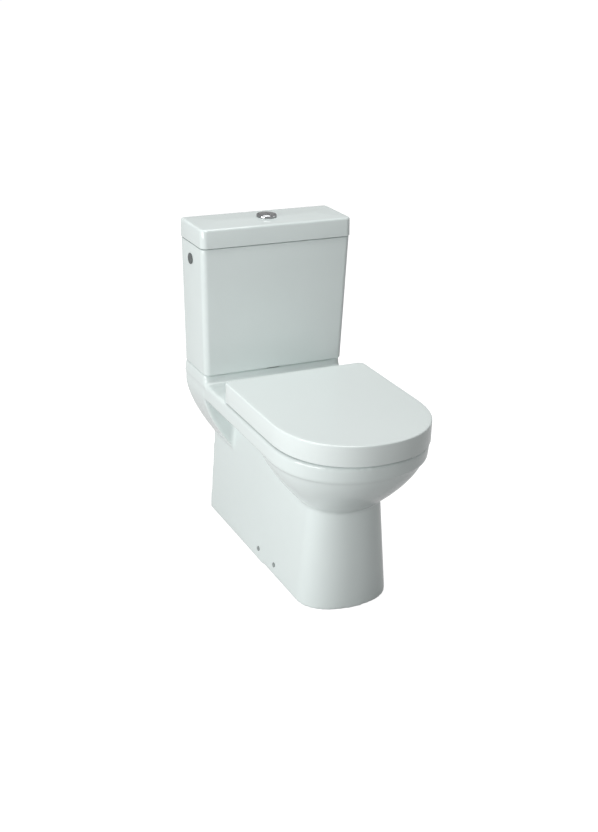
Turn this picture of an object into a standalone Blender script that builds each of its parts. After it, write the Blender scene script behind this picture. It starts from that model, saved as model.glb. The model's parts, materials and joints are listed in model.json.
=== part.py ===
# Close-coupled toilet: ceramic pan and cistern, flush valve, fill valve, seat and cover.
# Metres, +Z up. The front faces -Y, the wall is at +Y, and the origin is on the floor
# below the middle of the whole object. Depths are measured from the wall.
import bpy
import bmesh
from math import atan2, copysign, cos, pi, radians, sin, tau
from mathutils import Matrix, Vector

for old in list(bpy.data.objects):
    bpy.data.objects.remove(old, do_unlink=True)

# Whole object
seat_gap = 0.0003
running_gap = 0.0005
overrun = 0.010
arc_steps = 24
corner_steps = 3
side_steps = 4
level_steps = 6
merge_distance = 0.000001

# Pan
rim_height = 0.396
pan_width = 0.360
pan_length = 0.686
pan_front_round = 0.182
front_power = 2.2
band_height = 0.041
band_front_lean = 0.0085
band_edge_radius = 0.006
ceramic_wall = 0.012
slab_thickness = 0.026
base_width = 0.222
base_back_spread = 0.007
base_setback = 0.098
base_front_round = 0.083
pedestal_slab_gap = 0.010
pedestal_rear_draft = 0.0173
pedestal_side_draft = 0.0318
pedestal_nose_draft = 0.033
shoulder_depth = 0.120
flare_height = 0.154
flare_power = 1.5
belly_crease = 0.0015
belly_overlap = 0.012
belly_height = 0.141
belly_bottom_width = 0.160
belly_bottom_length = 0.170
belly_bottom_setback = 0.028
belly_top_back = 0.270
belly_middle_shift = 0.012
plinth_rise = 0.021
plinth_foot = 0.012
plinth_side_inset = 0.0055
plinth_front = 0.1355
plinth_front_fillet = 0.0145

# Bowl, trap and water way
bowl_mouth_width = 0.244
bowl_mouth_back = 0.290
bowl_front_margin = 0.046
sump_height = 0.150
sump_length = 0.074
sump_setback = 0.204
trap_wall = 0.011
trap_bore = 0.030
outlet_height = 0.180
outlet_bore = 0.043
spigot_radius = 0.051
spigot_length = 0.118
outlet_setback = 0.012
duct_wall = 0.009
duct_mouth_radius = 0.034
duct_end_radius = 0.020
recess_radius = 0.055
recess_depth = 0.018

# Cistern
cistern_axis = 0.071
coupling_gap = 0.0035
tank_height = 0.309
tank_foot_overhang = 0.0011
tank_side_taper = 0.0101
tank_back = 0.003
tank_bottom_depth = 0.1375
tank_top_depth = 0.1395
tank_wall = 0.010
tank_floor = 0.012
tank_corner = 0.014
tank_back_corner = 0.009
tank_edge = 0.006
side_hole_drop = 0.0405
side_hole_from_wall = 0.042
spare_hole_from_wall = 0.066
spare_hole_rise = 0.0026
side_hole_radius = 0.0115
lid_seam = 0.0008
lid_height = 0.0445
lid_side_overhang = 0.0005
lid_front_overhang = 0.003
lid_back_overhang = 0.002
lid_corner = 0.016
lid_back_corner = 0.006
lid_edge = 0.006
lid_crown = 0.0035
lid_wall = 0.010
lid_lip_drop = 0.008
lid_lip_wall = 0.006
lid_lip_clearance = 0.0015

# Dual flush button
bezel_radius = 0.0243
bezel_height = 0.005
sleeve_radius = 0.0215
sleeve_wall = 0.001
sleeve_length = 0.030
button_clearance = 0.0005
button_split = 0.0012
button_height = 0.012
button_proud = 0.002
button_dome = 0.0015
rod_offset = 0.010
rod_radius = 0.0022
bridge_height = 0.003
bezel_nut_radius = 0.030
bezel_nut_height = 0.007
spring_radius = 0.0042
spring_wire = 0.0006
spring_turns = 4

# Flush valve
valve_tail_radius = 0.030
valve_tail_wall = 0.004
valve_tail_drop = 0.0405
outlet_clearance = 0.0025
valve_flange_radius = 0.045
valve_flange_height = 0.004
outlet_washer_height = 0.0035
cage_radius = 0.038
cage_height = 0.058
cage_wall = 0.003
cage_window_width = 0.034
backnut_radius = 0.046
backnut_height = 0.010
gasket_web = 0.0335
seal_radius = 0.033
seal_height = 0.003
overflow_radius = 0.013
overflow_wall = 0.0025
overflow_length = 0.214
lift_plate_radius = 0.0335
lift_plate_height = 0.003
plunger_travel = 0.015
tower_radius = 0.031
tower_wall = 0.0025
tower_head_height = 0.012
tower_window_width = 0.030
rod_entry = 0.005

# Fill valve
shank_radius = 0.0105
shank_reach = 0.0121
shank_bore = 0.0055
inner_flange_radius = 0.018
inner_flange_height = 0.004
inlet_washer_height = 0.002
inlet_nut_radius = 0.0155
inlet_nut_height = 0.0065
barrel_radius = 0.011
barrel_length = 0.044
valve_head_radius = 0.016
valve_head_length = 0.017
nozzle_radius = 0.006
nozzle_bore = 0.004
nozzle_drop = 0.040
pivot_rise = 0.023
pivot_ear_width = 0.010
pivot_ear_depth = 0.012
pivot_pin_radius = 0.0025
arm_thickness = 0.005
arm_height = 0.008
arm_reach = 0.0515
float_offset = 0.041
float_radius = 0.021
float_height = 0.060
float_wall = 0.002
float_stem_drop = 0.030
float_stem_radius = 0.003
float_drop_angle = 18

# Blanking plug in the unused side hole
plug_head_radius = 0.0132
plug_head_height = 0.0018
plug_stem_radius = 0.011
plug_nut_radius = 0.0165
plug_nut_height = 0.005
plug_thread = 0.020

# Cistern bolts
tank_bolt_spacing = 0.170
tank_bolt_radius = 0.004
tank_bolt_head = 0.009
tank_bolt_head_height = 0.0045
bolt_washer_radius = 0.013
bolt_washer_height = 0.004
wing_nut_radius = 0.008
wing_nut_height = 0.009
wing_span = 0.034
wing_thickness = 0.003
bolt_end = 0.006
bolt_hole_clearance = 0.0015

# Seat and cover
hinge_from_wall = 0.232
hinge_rise = 0.028
hinge_spacing = 0.155
seat_lift = 0.004
seat_back = 0.266
seat_thickness = 0.024
seat_hole_width = 0.216
seat_hole_back = 0.310
seat_hole_margin = 0.058
seat_hole_corner = 0.060
cover_back = 0.2455
cover_overhang = 0.007
cover_height = 0.047
cover_wall = 0.0045
cover_top = 0.006
cover_crown = 0.003
cover_edge = 0.005
cover_corner = 0.016
cover_seat_clearance = 0.003
ear_radius = 0.009
ear_width = 0.010
post_width = 0.018
post_foot_radius = 0.015
post_foot_height = 0.004
hinge_pin_radius = 0.004
pin_head_radius = 0.006
pin_head_height = 0.0015
stud_radius = 0.0035
stud_length = 0.018
bush_radius = 0.0065
bush_hole_depth = 0.021
notch_clearance = 0.0015
buffer_radius = 0.008

# Side fixing to the floor
fix_spacing = 0.0865
fix_setback = 0.117
fix_height = 0.028
fix_screw_radius = 0.003
fix_screw_head = 0.005
fix_screw_head_height = 0.002
fix_cap_radius = 0.0068
fix_cap_height = 0.0038
fix_cap_wall = 0.001
bracket_thickness = 0.004
bracket_length = 0.130
bracket_height = 0.052
bracket_foot = 0.036

# Sizes that follow from the ones above
overall_depth = pan_length + cover_overhang
wall_y = overall_depth / 2
pan_half = pan_width / 2
pan_straight = pan_length - pan_front_round
base_back_width = base_width + base_back_spread
base_length = pan_length - base_setback
base_straight = base_length - base_front_round
slab_bottom = rim_height - slab_thickness
pedestal_height = slab_bottom - pedestal_slab_gap
flare_start_height = slab_bottom - flare_height
band_bottom = rim_height - band_height
belly_bottom_height = band_bottom + belly_overlap - belly_height
belly_bottom_front = base_length - belly_bottom_setback
belly_bottom_back = belly_bottom_front - belly_bottom_length
belly_middle = pan_straight - belly_middle_shift
bowl_mouth_front = pan_length - bowl_front_margin
sump_depth = rim_height - sump_height
sump_front = pan_length - sump_setback
sump_back = sump_front - sump_length
plinth_top = rim_height + plinth_rise
tank_bottom = plinth_top + coupling_gap
tank_inside_floor = tank_bottom + tank_floor
tank_top = tank_bottom + tank_height
tank_bottom_width = pan_width + tank_foot_overhang * 2
tank_top_width = tank_bottom_width + tank_side_taper * 2
lid_width = tank_top_width + lid_side_overhang * 2
lid_depth = tank_top_depth + lid_front_overhang
lid_back = tank_back - lid_back_overhang
lid_bottom = tank_top + lid_seam
lid_top = lid_bottom + lid_height
crown_top = lid_top + lid_crown
side_hole_height = tank_top - side_hole_drop
spare_hole_height = side_hole_height + spare_hole_rise
hinge_height = rim_height + hinge_rise
seat_bottom = rim_height + seat_lift
seat_top = seat_bottom + seat_thickness
seat_hole_front = pan_length - seat_hole_margin
cover_top_height = seat_bottom + cover_height
cover_length_front = overall_depth
cover_half = pan_half
seat_half = cover_half - cover_wall - cover_seat_clearance
seat_front = cover_length_front - cover_wall - cover_seat_clearance
bezel_top = crown_top + seat_gap + bezel_height
sleeve_bottom = bezel_top - sleeve_length
button_bottom = bezel_top + button_proud - button_height
fix_front = base_straight - fix_setback

finishes = {
    "ceramic": ((0.78, 0.82, 0.81), 0.10, 0.0),
    "seat_plastic": ((0.79, 0.83, 0.82), 0.16, 0.0),
    "white_plastic": ((0.72, 0.73, 0.72), 0.45, 0.0),
    "blue_plastic": ((0.10, 0.22, 0.42), 0.45, 0.0),
    "dark_plastic": ((0.09, 0.10, 0.10), 0.40, 0.0),
    "rubber": ((0.03, 0.03, 0.03), 0.80, 0.0),
    "chrome": ((0.70, 0.71, 0.72), 0.08, 1.0),
    "steel": ((0.55, 0.55, 0.54), 0.30, 1.0),
    "brass": ((0.62, 0.47, 0.20), 0.28, 1.0),
}


def between(low, high, share):
    return low + (high - low) * share


def point(x, from_wall, z):
    return Vector((x, wall_y - from_wall, z))


def finish(bm, name, kind, location=(0, 0, 0), rotation=(0, 0, 0), parent=None):
    mesh = bpy.data.meshes.new(name)
    bm.to_mesh(mesh)
    bm.free()
    mesh.shade_smooth()
    mesh.set_sharp_from_angle(angle=radians(35))
    piece = bpy.data.objects.new(name, mesh)
    bpy.context.collection.objects.link(piece)
    piece.location = location
    piece.rotation_euler = rotation
    if parent:
        piece.parent = parent
        piece.location = Vector(location) - parent.location
    if kind:
        color, roughness, metallic = finishes[kind]
        material = bpy.data.materials.new(name + "_finish")
        material.use_nodes = True
        shader = material.node_tree.nodes["Principled BSDF"]
        shader.inputs["Base Color"].default_value = (*color, 1.0)
        shader.inputs["Roughness"].default_value = roughness
        shader.inputs["Metallic"].default_value = metallic
        mesh.materials.append(material)
    else:
        piece.hide_render = True
        piece.display_type = 'WIRE'
    return piece


def combine(target, tool, operation):
    modifier = target.modifiers.new(tool.name, 'BOOLEAN')
    modifier.operation = operation
    modifier.object = tool


def joint_axis(name, location, angle=0.0):
    empty = bpy.data.objects.new(name, None)
    bpy.context.collection.objects.link(empty)
    empty.location = location
    empty.rotation_euler = (0, angle, 0)
    return empty


def loft(rings, closed=False):
    # Skin through rings of points. An open row of rings gets a cap at each end.
    bm = bmesh.new()
    rows = [[bm.verts.new(corner) for corner in ring] for ring in rings]
    for lower, upper in zip(rows, rows[1:] + (rows[:1] if closed else [])):
        for corners in zip(lower, lower[1:] + lower[:1], upper[1:] + upper[:1], upper):
            bm.faces.new(corners)
    if not closed:
        bm.faces.new(rows[0])
        bm.faces.new(rows[-1])
    bmesh.ops.recalc_face_normals(bm, faces=bm.faces)
    return bm


def turned(profile, steps=24):
    # A profile of (radius, height) points turned about Z. One that starts off the axis
    # is a closed ring, and one that starts on it is solid.
    bm = bmesh.new()
    verts = [bm.verts.new((radius, 0, height)) for radius, height in profile]
    edges = [bm.edges.new(ends) for ends in zip(verts, verts[1:])]
    if profile[0][0] > 0:
        edges.append(bm.edges.new((verts[-1], verts[0])))
    bmesh.ops.spin(bm, geom=verts + edges, cent=(0, 0, 0), axis=(0, 0, 1),
                   angle=tau, steps=steps, use_merge=True)
    bmesh.ops.remove_doubles(bm, verts=bm.verts, dist=merge_distance)
    bmesh.ops.recalc_face_normals(bm, faces=bm.faces)
    return bm


def disc(radius, low, high, bore=0.0, steps=24):
    if bore:
        bore /= cos(pi / steps)
        return turned([(bore, low), (radius, low), (radius, high), (bore, high)], steps)
    return turned([(0, low), (radius, low), (radius, high), (0, high)], steps)


def nut(radius, low, high, bore, sides=6):
    # Round bore in a flat-sided outside
    bm = disc(radius, low, high, bore, steps=sides * 4)
    for vert in bm.verts:
        if vert.co.xy.length > (radius + bore) / 2:
            turn = atan2(vert.co.y, vert.co.x) % (tau / sides) - pi / sides
            vert.co.xy *= cos(pi / sides) / cos(turn)
    return bm


def add_box(bm, low, high):
    size = [b - a for a, b in zip(low, high)]
    middle = [(a + b) / 2 for a, b in zip(low, high)]
    matrix = Matrix.Translation(middle) @ Matrix.Diagonal((*size, 1))
    bmesh.ops.create_cube(bm, size=1, matrix=matrix)


def box(low, high):
    bm = bmesh.new()
    add_box(bm, low, high)
    return bm


def add_rod(bm, start, end, radius, segments=16):
    start, end = Vector(start), Vector(end)
    turn = Vector((0, 0, 1)).rotation_difference(end - start).to_matrix().to_4x4()
    matrix = Matrix.Translation((start + end) / 2) @ turn
    bmesh.ops.create_cone(bm, cap_ends=True, segments=segments, radius1=radius,
                          radius2=radius, depth=(end - start).length, matrix=matrix)


def d_outline(z, half_front, half_back, back, straight, front, corner=0.0, side_steps=1):
    # Plan outline with a straight back and a rounded front
    power = 2 / front_power
    sides = [step / side_steps for step in range(1, side_steps)]
    ring = [point(between(half_back, half_front, share), between(back, straight, share), z)
            for share in sides]
    for step in range(arc_steps + 1):
        turn = pi * step / arc_steps
        across = copysign(abs(cos(turn)) ** power, cos(turn))
        along = between(straight, front, sin(turn) ** power if step < arc_steps else 0)
        ring.append(point(half_front * across, along, z))
    ring += [point(-between(half_back, half_front, share), between(back, straight, share), z)
             for share in sides[::-1]]
    for side, across, along in ((-1, cos, sin), (1, sin, cos)):
        for step in range(corner_steps + 1 if corner else 1):
            turn = pi / 2 * step / corner_steps
            ring.append(point(side * (half_back - corner * (1 - across(turn))),
                              back + corner * (1 - along(turn)), z))
    return ring


def oval_outline(z, half, back, middle, front):
    # Plan outline with a rounded back and front
    power = 2 / front_power
    steps = 2 * arc_steps
    ring = []
    for step in range(steps):
        turn = tau * step / steps
        across = copysign(abs(cos(turn)) ** power, cos(turn))
        reach = front - middle if sin(turn) > 0 else middle - back
        along = middle + reach * copysign(abs(sin(turn)) ** power, sin(turn))
        ring.append(point(half * across, along, z))
    return ring


def box_outline(z, half, back, front, front_corner, back_corner):
    # Plan outline of a box with rounded corners
    ring = []
    corners = ((1, front, -1, front_corner, 0), (-1, front, -1, front_corner, 1),
               (-1, back, 1, back_corner, 2), (1, back, 1, back_corner, 3))
    for side, edge, inward, radius, quarter in corners:
        for step in range(corner_steps + 2):
            turn = pi / 2 * (quarter + step / (corner_steps + 1))
            x = side * (half - radius) + radius * cos(turn)
            ring.append(point(x, edge + inward * radius + radius * sin(turn), z))
    return ring


def tube_rings(path, radii, steps=16):
    # Rings of a round tube whose path of (from_wall, z) lies in the middle plane
    centres = [point(0, *place) for place in path]
    rings = []
    for index, (centre, radius) in enumerate(zip(centres, radii)):
        before, after = centres[max(index - 1, 0)], centres[min(index + 1, len(centres) - 1)]
        along = (after - before).normalized()
        across = Vector((1, 0, 0))
        normal = along.cross(across)
        rings.append([centre + radius * (cos(tau * k / steps) * across + sin(tau * k / steps) * normal)
                      for k in range(steps)])
    return rings


def pedestal_half(z):
    # Half widths at the front of the straight sides and at the wall
    share = z / pedestal_height
    return (base_width / 2 - pedestal_side_draft * share,
            base_back_width / 2 - pedestal_rear_draft * share)


def pedestal_side(z, from_wall):
    front, back = pedestal_half(z)
    return between(back, front, (from_wall + overrun) / (base_straight + overrun))


def pedestal_ring(z, inset):
    half_front, half_back = pedestal_half(z)
    nose = base_length - pedestal_nose_draft * z / pedestal_height - inset
    return d_outline(z, half_front - inset, half_back - inset, -overrun, base_straight, nose,
                     side_steps=side_steps)


def flare_half(z):
    # Half width of the shoulder, which widens from the pedestal to the rim
    start = pedestal_half(flare_start_height)[1]
    share = min(max((z - flare_start_height) / (slab_bottom - flare_start_height), 0), 1)
    return between(start, pan_half, 1 - (1 - share) ** flare_power)


def shoulder(inset, foot, top, reach, steps):
    # Constant section from the wall forward
    start = pedestal_half(flare_start_height)[1]
    right = [(start - inset - foot, flare_start_height - foot * 2)]
    right += [(flare_half(z) - inset, z) for z in
              [between(flare_start_height, slab_bottom, step / steps) for step in range(steps)]]
    right.append((pan_half - inset, min(top, slab_bottom)))
    if top > slab_bottom:
        right.append((pan_half - inset, top))
    outline = right + [(-x, z) for x, z in reversed(right)]
    return loft([[point(x, from_wall, z) for x, z in outline] for from_wall in (-overrun * 1.5, reach)])


def band_ring(z, inset):
    share = (rim_height - z) / band_height
    lean = band_front_lean * share
    half_back = min(flare_half(z), pan_half) - inset - seat_gap
    return d_outline(z, pan_half - inset, half_back, shoulder_depth - overrun * 2,
                     pan_straight, pan_length - inset - lean)


def belly_ring(share):
    narrowing = share ** 1.5
    z = between(band_bottom + belly_overlap, belly_bottom_height, share)
    half = between(pan_half - belly_crease, belly_bottom_width / 2, narrowing)
    front = between(pan_length - band_front_lean - seat_gap, belly_bottom_front, narrowing)
    back = between(belly_top_back, belly_bottom_back, share)
    return oval_outline(z, half, back, min(belly_middle, between(back, front, 0.6)), front)


bowl_depth_shares = (0.0, 0.105, 0.115, 0.26, 0.38, 0.53, 0.65, 0.79, 0.92, 1.0)
bowl_width_shares = (1.0, 1.0, 1.1, 1.05, 0.95, 0.79, 0.62, 0.46, 0.35, 0.295)
bowl_back_shares = (0.0, 0.0, -0.08, -0.05, 0.02, 0.15, 0.32, 0.55, 0.82, 1.0)
bowl_front_shares = (0.0, 0.0, -0.08, -0.04, 0.08, 0.29, 0.52, 0.72, 0.88, 1.0)


def bowl_rings(extra, top, floor_extra):
    rings = []
    places = zip(bowl_depth_shares, bowl_width_shares, bowl_back_shares, bowl_front_shares)
    for index, (depth, width, back, front) in enumerate(places):
        z = rim_height - sump_depth * depth
        if index == 0:
            z = top
        if index == len(bowl_depth_shares) - 1:
            z -= floor_extra
        half = bowl_mouth_width / 2 * width + extra
        low = between(bowl_mouth_back, sump_back, back) - extra
        high = between(bowl_mouth_front, sump_front, front) + extra
        rings.append(oval_outline(z, half, low, between(low, high, 0.5), high))
    return rings


trap_along_shares = (1.0, 0.94, 0.85, 0.73, 0.61, 0.53, 0.465, 0.375, 0.27, 0.165, 0.06, 0.0)
trap_height_shares = (-0.10, -0.55, -0.86, -0.97, -0.82, -0.45, -0.02, 0.27, 0.27, 0.12, 0.02, 0.0)
trap_growth_shares = (0.4, 0.25, 0.08, 0.0, 0.0, 0.0, 0.05, 0.15, 0.3, 0.6, 0.9, 1.0)


def trap_places():
    start, end = (sump_back + sump_front) / 2, outlet_setback + spigot_length
    rise = outlet_height - (rim_height - sump_depth - trap_wall) + trap_bore * 2
    path = [(between(end, start, along), outlet_height + rise * height)
            for along, height in zip(trap_along_shares, trap_height_shares)]
    radii = [between(trap_bore, outlet_bore, share) for share in trap_growth_shares]
    return path, radii


duct_along_shares = (0.0, 0.0, 0.02, 0.12, 0.33, 0.60, 1.06)
duct_fall_shares = (-0.55, 0.0, 0.55, 0.9, 1.0, 0.96, 0.84)
duct_taper_shares = (0.0, 0.0, 0.2, 0.5, 0.72, 0.88, 1.0)


def duct_places():
    top = slab_bottom + slab_thickness * 0.5
    bottom = slab_bottom - duct_mouth_radius - duct_wall / 2
    path = [(between(cistern_axis, bowl_mouth_back, along), between(top, bottom, fall))
            for along, fall in zip(duct_along_shares, duct_fall_shares)]
    radii = [between(duct_mouth_radius, duct_end_radius, share) for share in duct_taper_shares]
    return path, radii


def make_pan():
    levels = [pedestal_height * step / level_steps for step in range(level_steps + 1)]
    pan = finish(loft([pedestal_ring(z, 0) for z in [-overrun] + levels]), "pan", "ceramic")
    block = shoulder(0, ceramic_wall / 3, rim_height - band_edge_radius, shoulder_depth, 8)
    combine(pan, finish(block, "shoulder", None), 'UNION')
    band = loft([band_ring(z, inset) for z, inset in (
        (band_bottom - seat_gap, band_edge_radius),
        (band_bottom + band_edge_radius * 0.3, band_edge_radius * 0.3),
        (band_bottom + band_edge_radius, 0),
        (rim_height - band_edge_radius, 0),
        (rim_height - band_edge_radius * 0.3, band_edge_radius * 0.3),
        (rim_height, band_edge_radius))])
    combine(pan, finish(band, "rim_band", None), 'UNION')
    belly = loft([belly_ring(step / 9) for step in range(10)])
    combine(pan, finish(belly, "belly", None), 'UNION')
    plinth = loft([plinth_ring(*shares) for shares in
                   zip(plinth_height_shares, plinth_side_shares, plinth_front_shares)])
    combine(pan, finish(plinth, "plinth", None), 'UNION')
    keep = box((-pan_width, wall_y - overall_depth * 2, 0), (pan_width, wall_y, tank_bottom))
    combine(pan, finish(keep, "trim", None), 'INTERSECT')

    levels = [-overrun * 2] + levels[:-1] + [slab_bottom]
    hollow = finish(loft([pedestal_ring(z, ceramic_wall) for z in levels]), "hollow", None)
    inside = shoulder(ceramic_wall, ceramic_wall, slab_bottom - seat_gap,
                      shoulder_depth - ceramic_wall, 5)
    combine(hollow, finish(inside, "shoulder_hollow", None), 'UNION')
    bowl_body = loft(bowl_rings(ceramic_wall, rim_height, ceramic_wall))
    combine(hollow, finish(bowl_body, "bowl_body", None), 'DIFFERENCE')
    path, radii = trap_places()
    trap_body = loft(tube_rings(path, [radius + trap_wall for radius in radii]))
    combine(hollow, finish(trap_body, "trap_body", None), 'DIFFERENCE')
    spigot = bmesh.new()
    add_rod(spigot, point(0, outlet_setback + spigot_length, outlet_height),
            point(0, outlet_setback, outlet_height), spigot_radius, 28)
    combine(hollow, finish(spigot, "spigot", None), 'DIFFERENCE')
    duct, duct_radii = duct_places()
    duct_body = loft(tube_rings(duct, [radius + duct_wall for radius in duct_radii]))
    combine(hollow, finish(duct_body, "duct_body", None), 'DIFFERENCE')
    combine(pan, hollow, 'DIFFERENCE')

    bowl = loft(bowl_rings(0, rim_height + overrun, 0))
    combine(pan, finish(bowl, "bowl_space", None), 'DIFFERENCE')
    path, radii = trap_places()
    path.append((-overrun, outlet_height))
    combine(pan, finish(loft(tube_rings(path, radii + [outlet_bore])), "trap_space", None),
            'DIFFERENCE')
    duct.insert(0, (cistern_axis, plinth_top + overrun))
    duct_space = loft(tube_rings(duct, duct_radii[:1] + duct_radii))
    combine(pan, finish(duct_space, "duct_space", None), 'DIFFERENCE')
    recess = disc(recess_radius, plinth_top - recess_depth, plinth_top + overrun, steps=32)
    combine(pan, finish(recess, "coupling_recess", None, point(0, cistern_axis, 0)), 'DIFFERENCE')

    holes = bmesh.new()
    flats = bmesh.new()
    for side in (-1, 1):
        x = side * tank_bolt_spacing / 2
        add_rod(holes, point(x, cistern_axis, slab_bottom - overrun),
                point(x, cistern_axis, plinth_top + overrun), tank_bolt_radius + bolt_hole_clearance)
        x = side * hinge_spacing / 2
        add_rod(holes, point(x, hinge_from_wall, rim_height - bush_hole_depth),
                point(x, hinge_from_wall, rim_height + overrun), bush_radius + running_gap)
        for from_wall in fix_places():
            add_rod(holes, point(side * (base_width / 2 - ceramic_wall - overrun), from_wall, fix_height),
                    point(side * (base_width / 2 + overrun), from_wall, fix_height),
                    fix_screw_radius + bolt_hole_clearance)
            add_rod(flats, point(side * cap_face(from_wall), from_wall, fix_height),
                    point(side * (base_width / 2 + overrun * 2), from_wall, fix_height),
                    fix_cap_radius + running_gap, 20)
    combine(pan, finish(holes, "pan_holes", None), 'DIFFERENCE')
    combine(pan, finish(flats, "cap_flats", None), 'DIFFERENCE')


plinth_height_shares = (0.0, 0.2, 0.38, 0.45, 0.58, 0.76, 0.94, 1.0)
plinth_side_shares = (0.2, -0.3, -0.25, -0.15, 0.1, 0.45, 0.8, 1.15)
plinth_front_shares = (0.0, 0.0, 0.2, 0.5, 0.8, 0.95, 1.0, 1.1)


def plinth_ring(height_share, side_share, front_share):
    z = between(rim_height - plinth_foot, plinth_top, height_share)
    half = pan_half - plinth_side_inset * side_share
    front = plinth_front + plinth_front_fillet * (1 - front_share)
    return box_outline(z, half, -overrun, front, tank_corner, tank_edge)


def fix_places():
    return (fix_front - fix_spacing, fix_front)


def cap_face(from_wall):
    # Shallow flat sunk in the sloping wall for a screw head and its cap
    return pedestal_side(fix_height + fix_cap_radius, from_wall + fix_cap_radius) - running_gap * 2


def tank_half(z):
    share = (z - tank_bottom) / tank_height
    return between(tank_bottom_width / 2, tank_top_width / 2, share)


def tank_inside(z, radius):
    # Nearest that the sloping inner side comes to the middle, over a disc on it
    return min(tank_half(z - radius), tank_half(z + radius)) - tank_wall


def tank_outside(z, radius):
    # Farthest that the sloping outer side reaches, over a disc on it
    return max(tank_half(z - radius), tank_half(z + radius))


def tank_ring(z, inset):
    share = (z - tank_bottom) / tank_height
    front = between(tank_bottom_depth, tank_top_depth, share)
    corner = max(tank_corner - inset, tank_corner / 3)
    back_corner = max(tank_back_corner - inset, tank_back_corner / 3)
    return box_outline(z, tank_half(z) - inset, tank_back + inset, front - inset,
                       corner, back_corner)


def make_tank():
    edge = tank_edge
    rings = [tank_ring(tank_bottom, edge),
             tank_ring(tank_bottom + edge * 0.3, edge * 0.3),
             tank_ring(tank_bottom + edge, 0),
             tank_ring(between(tank_bottom, tank_top, 0.5), 0),
             tank_ring(tank_top - edge / 3, 0),
             tank_ring(tank_top, edge / 3),
             tank_ring(tank_top, tank_wall),
             tank_ring(tank_inside_floor + edge, tank_wall),
             tank_ring(tank_inside_floor, tank_wall + edge)]
    tank = finish(loft(rings), "cistern_tank", "ceramic")
    holes = bmesh.new()
    low, high = tank_bottom - overrun, tank_inside_floor + overrun
    add_rod(holes, point(0, cistern_axis, low), point(0, cistern_axis, high),
            valve_tail_radius + outlet_clearance, 32)
    for side in (-1, 1):
        x = side * tank_bolt_spacing / 2
        add_rod(holes, point(x, cistern_axis, low), point(x, cistern_axis, high),
                tank_bolt_radius + bolt_hole_clearance)
    for side, from_wall, height in ((-1, spare_hole_from_wall, spare_hole_height),
                                    (1, side_hole_from_wall, side_hole_height)):
        x = tank_half(height)
        add_rod(holes, point(side * (x - tank_wall - overrun), from_wall, height),
                point(side * (x + overrun), from_wall, height), side_hole_radius)
    combine(tank, finish(holes, "tank_holes", None), 'DIFFERENCE')


def lid_ring(z, inset):
    corner = max(lid_corner - inset, lid_corner / 4)
    back_corner = max(lid_back_corner - inset, lid_back_corner / 4)
    return box_outline(z, lid_width / 2 - inset, lid_back + inset, lid_depth - inset,
                       corner, back_corner)


def lip_ring(z, inset):
    gap = tank_wall + lid_lip_clearance + inset
    half = tank_half(tank_top) - gap
    corner = lid_corner / 4
    return box_outline(z, half, tank_back + gap, tank_top_depth - gap, corner, corner)


def make_lid(axis):
    edge = lid_edge
    inside = lid_top - lid_wall
    rings = [lip_ring(inside, lid_lip_wall),
             lip_ring(tank_top - lid_lip_drop, lid_lip_wall),
             lip_ring(tank_top - lid_lip_drop, 0),
             lip_ring(lid_bottom, 0),
             lid_ring(lid_bottom, edge / 3),
             lid_ring(lid_bottom + edge / 3, 0),
             lid_ring(lid_top - edge, 0),
             lid_ring(lid_top - edge * 0.3, edge * 0.3)]
    half_depth = (lid_depth - lid_back) / 2
    for step in range(5):
        inset = between(edge, half_depth * 0.94, step / 4)
        rings.append(lid_ring(lid_top + lid_crown * (1 - (1 - inset / half_depth) ** 2), inset))
    lid = finish(loft(rings), "cistern_lid", "ceramic", parent=axis)
    hole = disc(sleeve_radius + running_gap, inside - overrun, crown_top + overrun, steps=32)
    combine(lid, finish(hole, "button_hole", None, point(0, cistern_axis, 0)), 'DIFFERENCE')


def make_button_set(lid_axis, full_axis, half_axis):
    centre = point(0, cistern_axis, 0)
    under = lid_top - lid_wall
    inner = sleeve_radius - sleeve_wall
    low = bezel_top - bezel_height
    floor = sleeve_bottom + bridge_height
    bezel = turned([(0, sleeve_bottom), (sleeve_radius, sleeve_bottom), (sleeve_radius, low),
                    (bezel_radius, low), (bezel_radius, bezel_top - bezel_height * 0.6),
                    (bezel_radius - bezel_height * 0.4, bezel_top), (inner + sleeve_wall, bezel_top),
                    (inner, bezel_top - bezel_height * 0.3), (inner, floor), (0, floor)], 32)
    bezel = finish(bezel, "button_bezel", "chrome", centre, parent=lid_axis)
    holes = bmesh.new()
    for side in (-1, 1):
        add_rod(holes, point(side * rod_offset, cistern_axis, sleeve_bottom - overrun),
                point(side * rod_offset, cistern_axis, sleeve_bottom + bridge_height + overrun),
                rod_radius + running_gap, 12)
    combine(bezel, finish(holes, "rod_holes", None), 'DIFFERENCE')
    ring = nut(bezel_nut_radius, under - seat_gap - bezel_nut_height, under - seat_gap,
               sleeve_radius + seat_gap, 8)
    finish(ring, "bezel_nut", "white_plastic", centre, parent=lid_axis)

    radius = inner - button_clearance
    rod_bottom = tower_top() - rod_entry
    for name, side, axis in (("full_flush", 1, full_axis), ("half_flush", -1, half_axis)):
        top = button_bottom + button_height
        shape = turned([(0, button_bottom), (radius, button_bottom), (radius, top - button_dome),
                        (radius * 0.8, top - button_dome * 0.35), (0, top)], 32)
        button = finish(shape, name + "_button", "chrome", centre, parent=axis)
        reach = side * bezel_radius
        low, high = sorted((-side * bezel_radius, side * button_split / 2))
        middle = wall_y - cistern_axis
        other = box((low, middle - abs(reach), button_bottom - overrun),
                    (high, middle + abs(reach), top + overrun))
        combine(button, finish(other, name + "_split", None), 'DIFFERENCE')
        rod = disc(rod_radius, rod_bottom, button_bottom - seat_gap, steps=12)
        place = point(side * rod_offset, cistern_axis, 0)
        finish(rod, name + "_rod", "white_plastic", place, parent=axis)
        low = sleeve_bottom + bridge_height + spring_wire + seat_gap
        high = button_bottom - spring_wire - seat_gap
        finish(coil(low, high), name + "_spring", "steel", place, parent=lid_axis)


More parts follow.
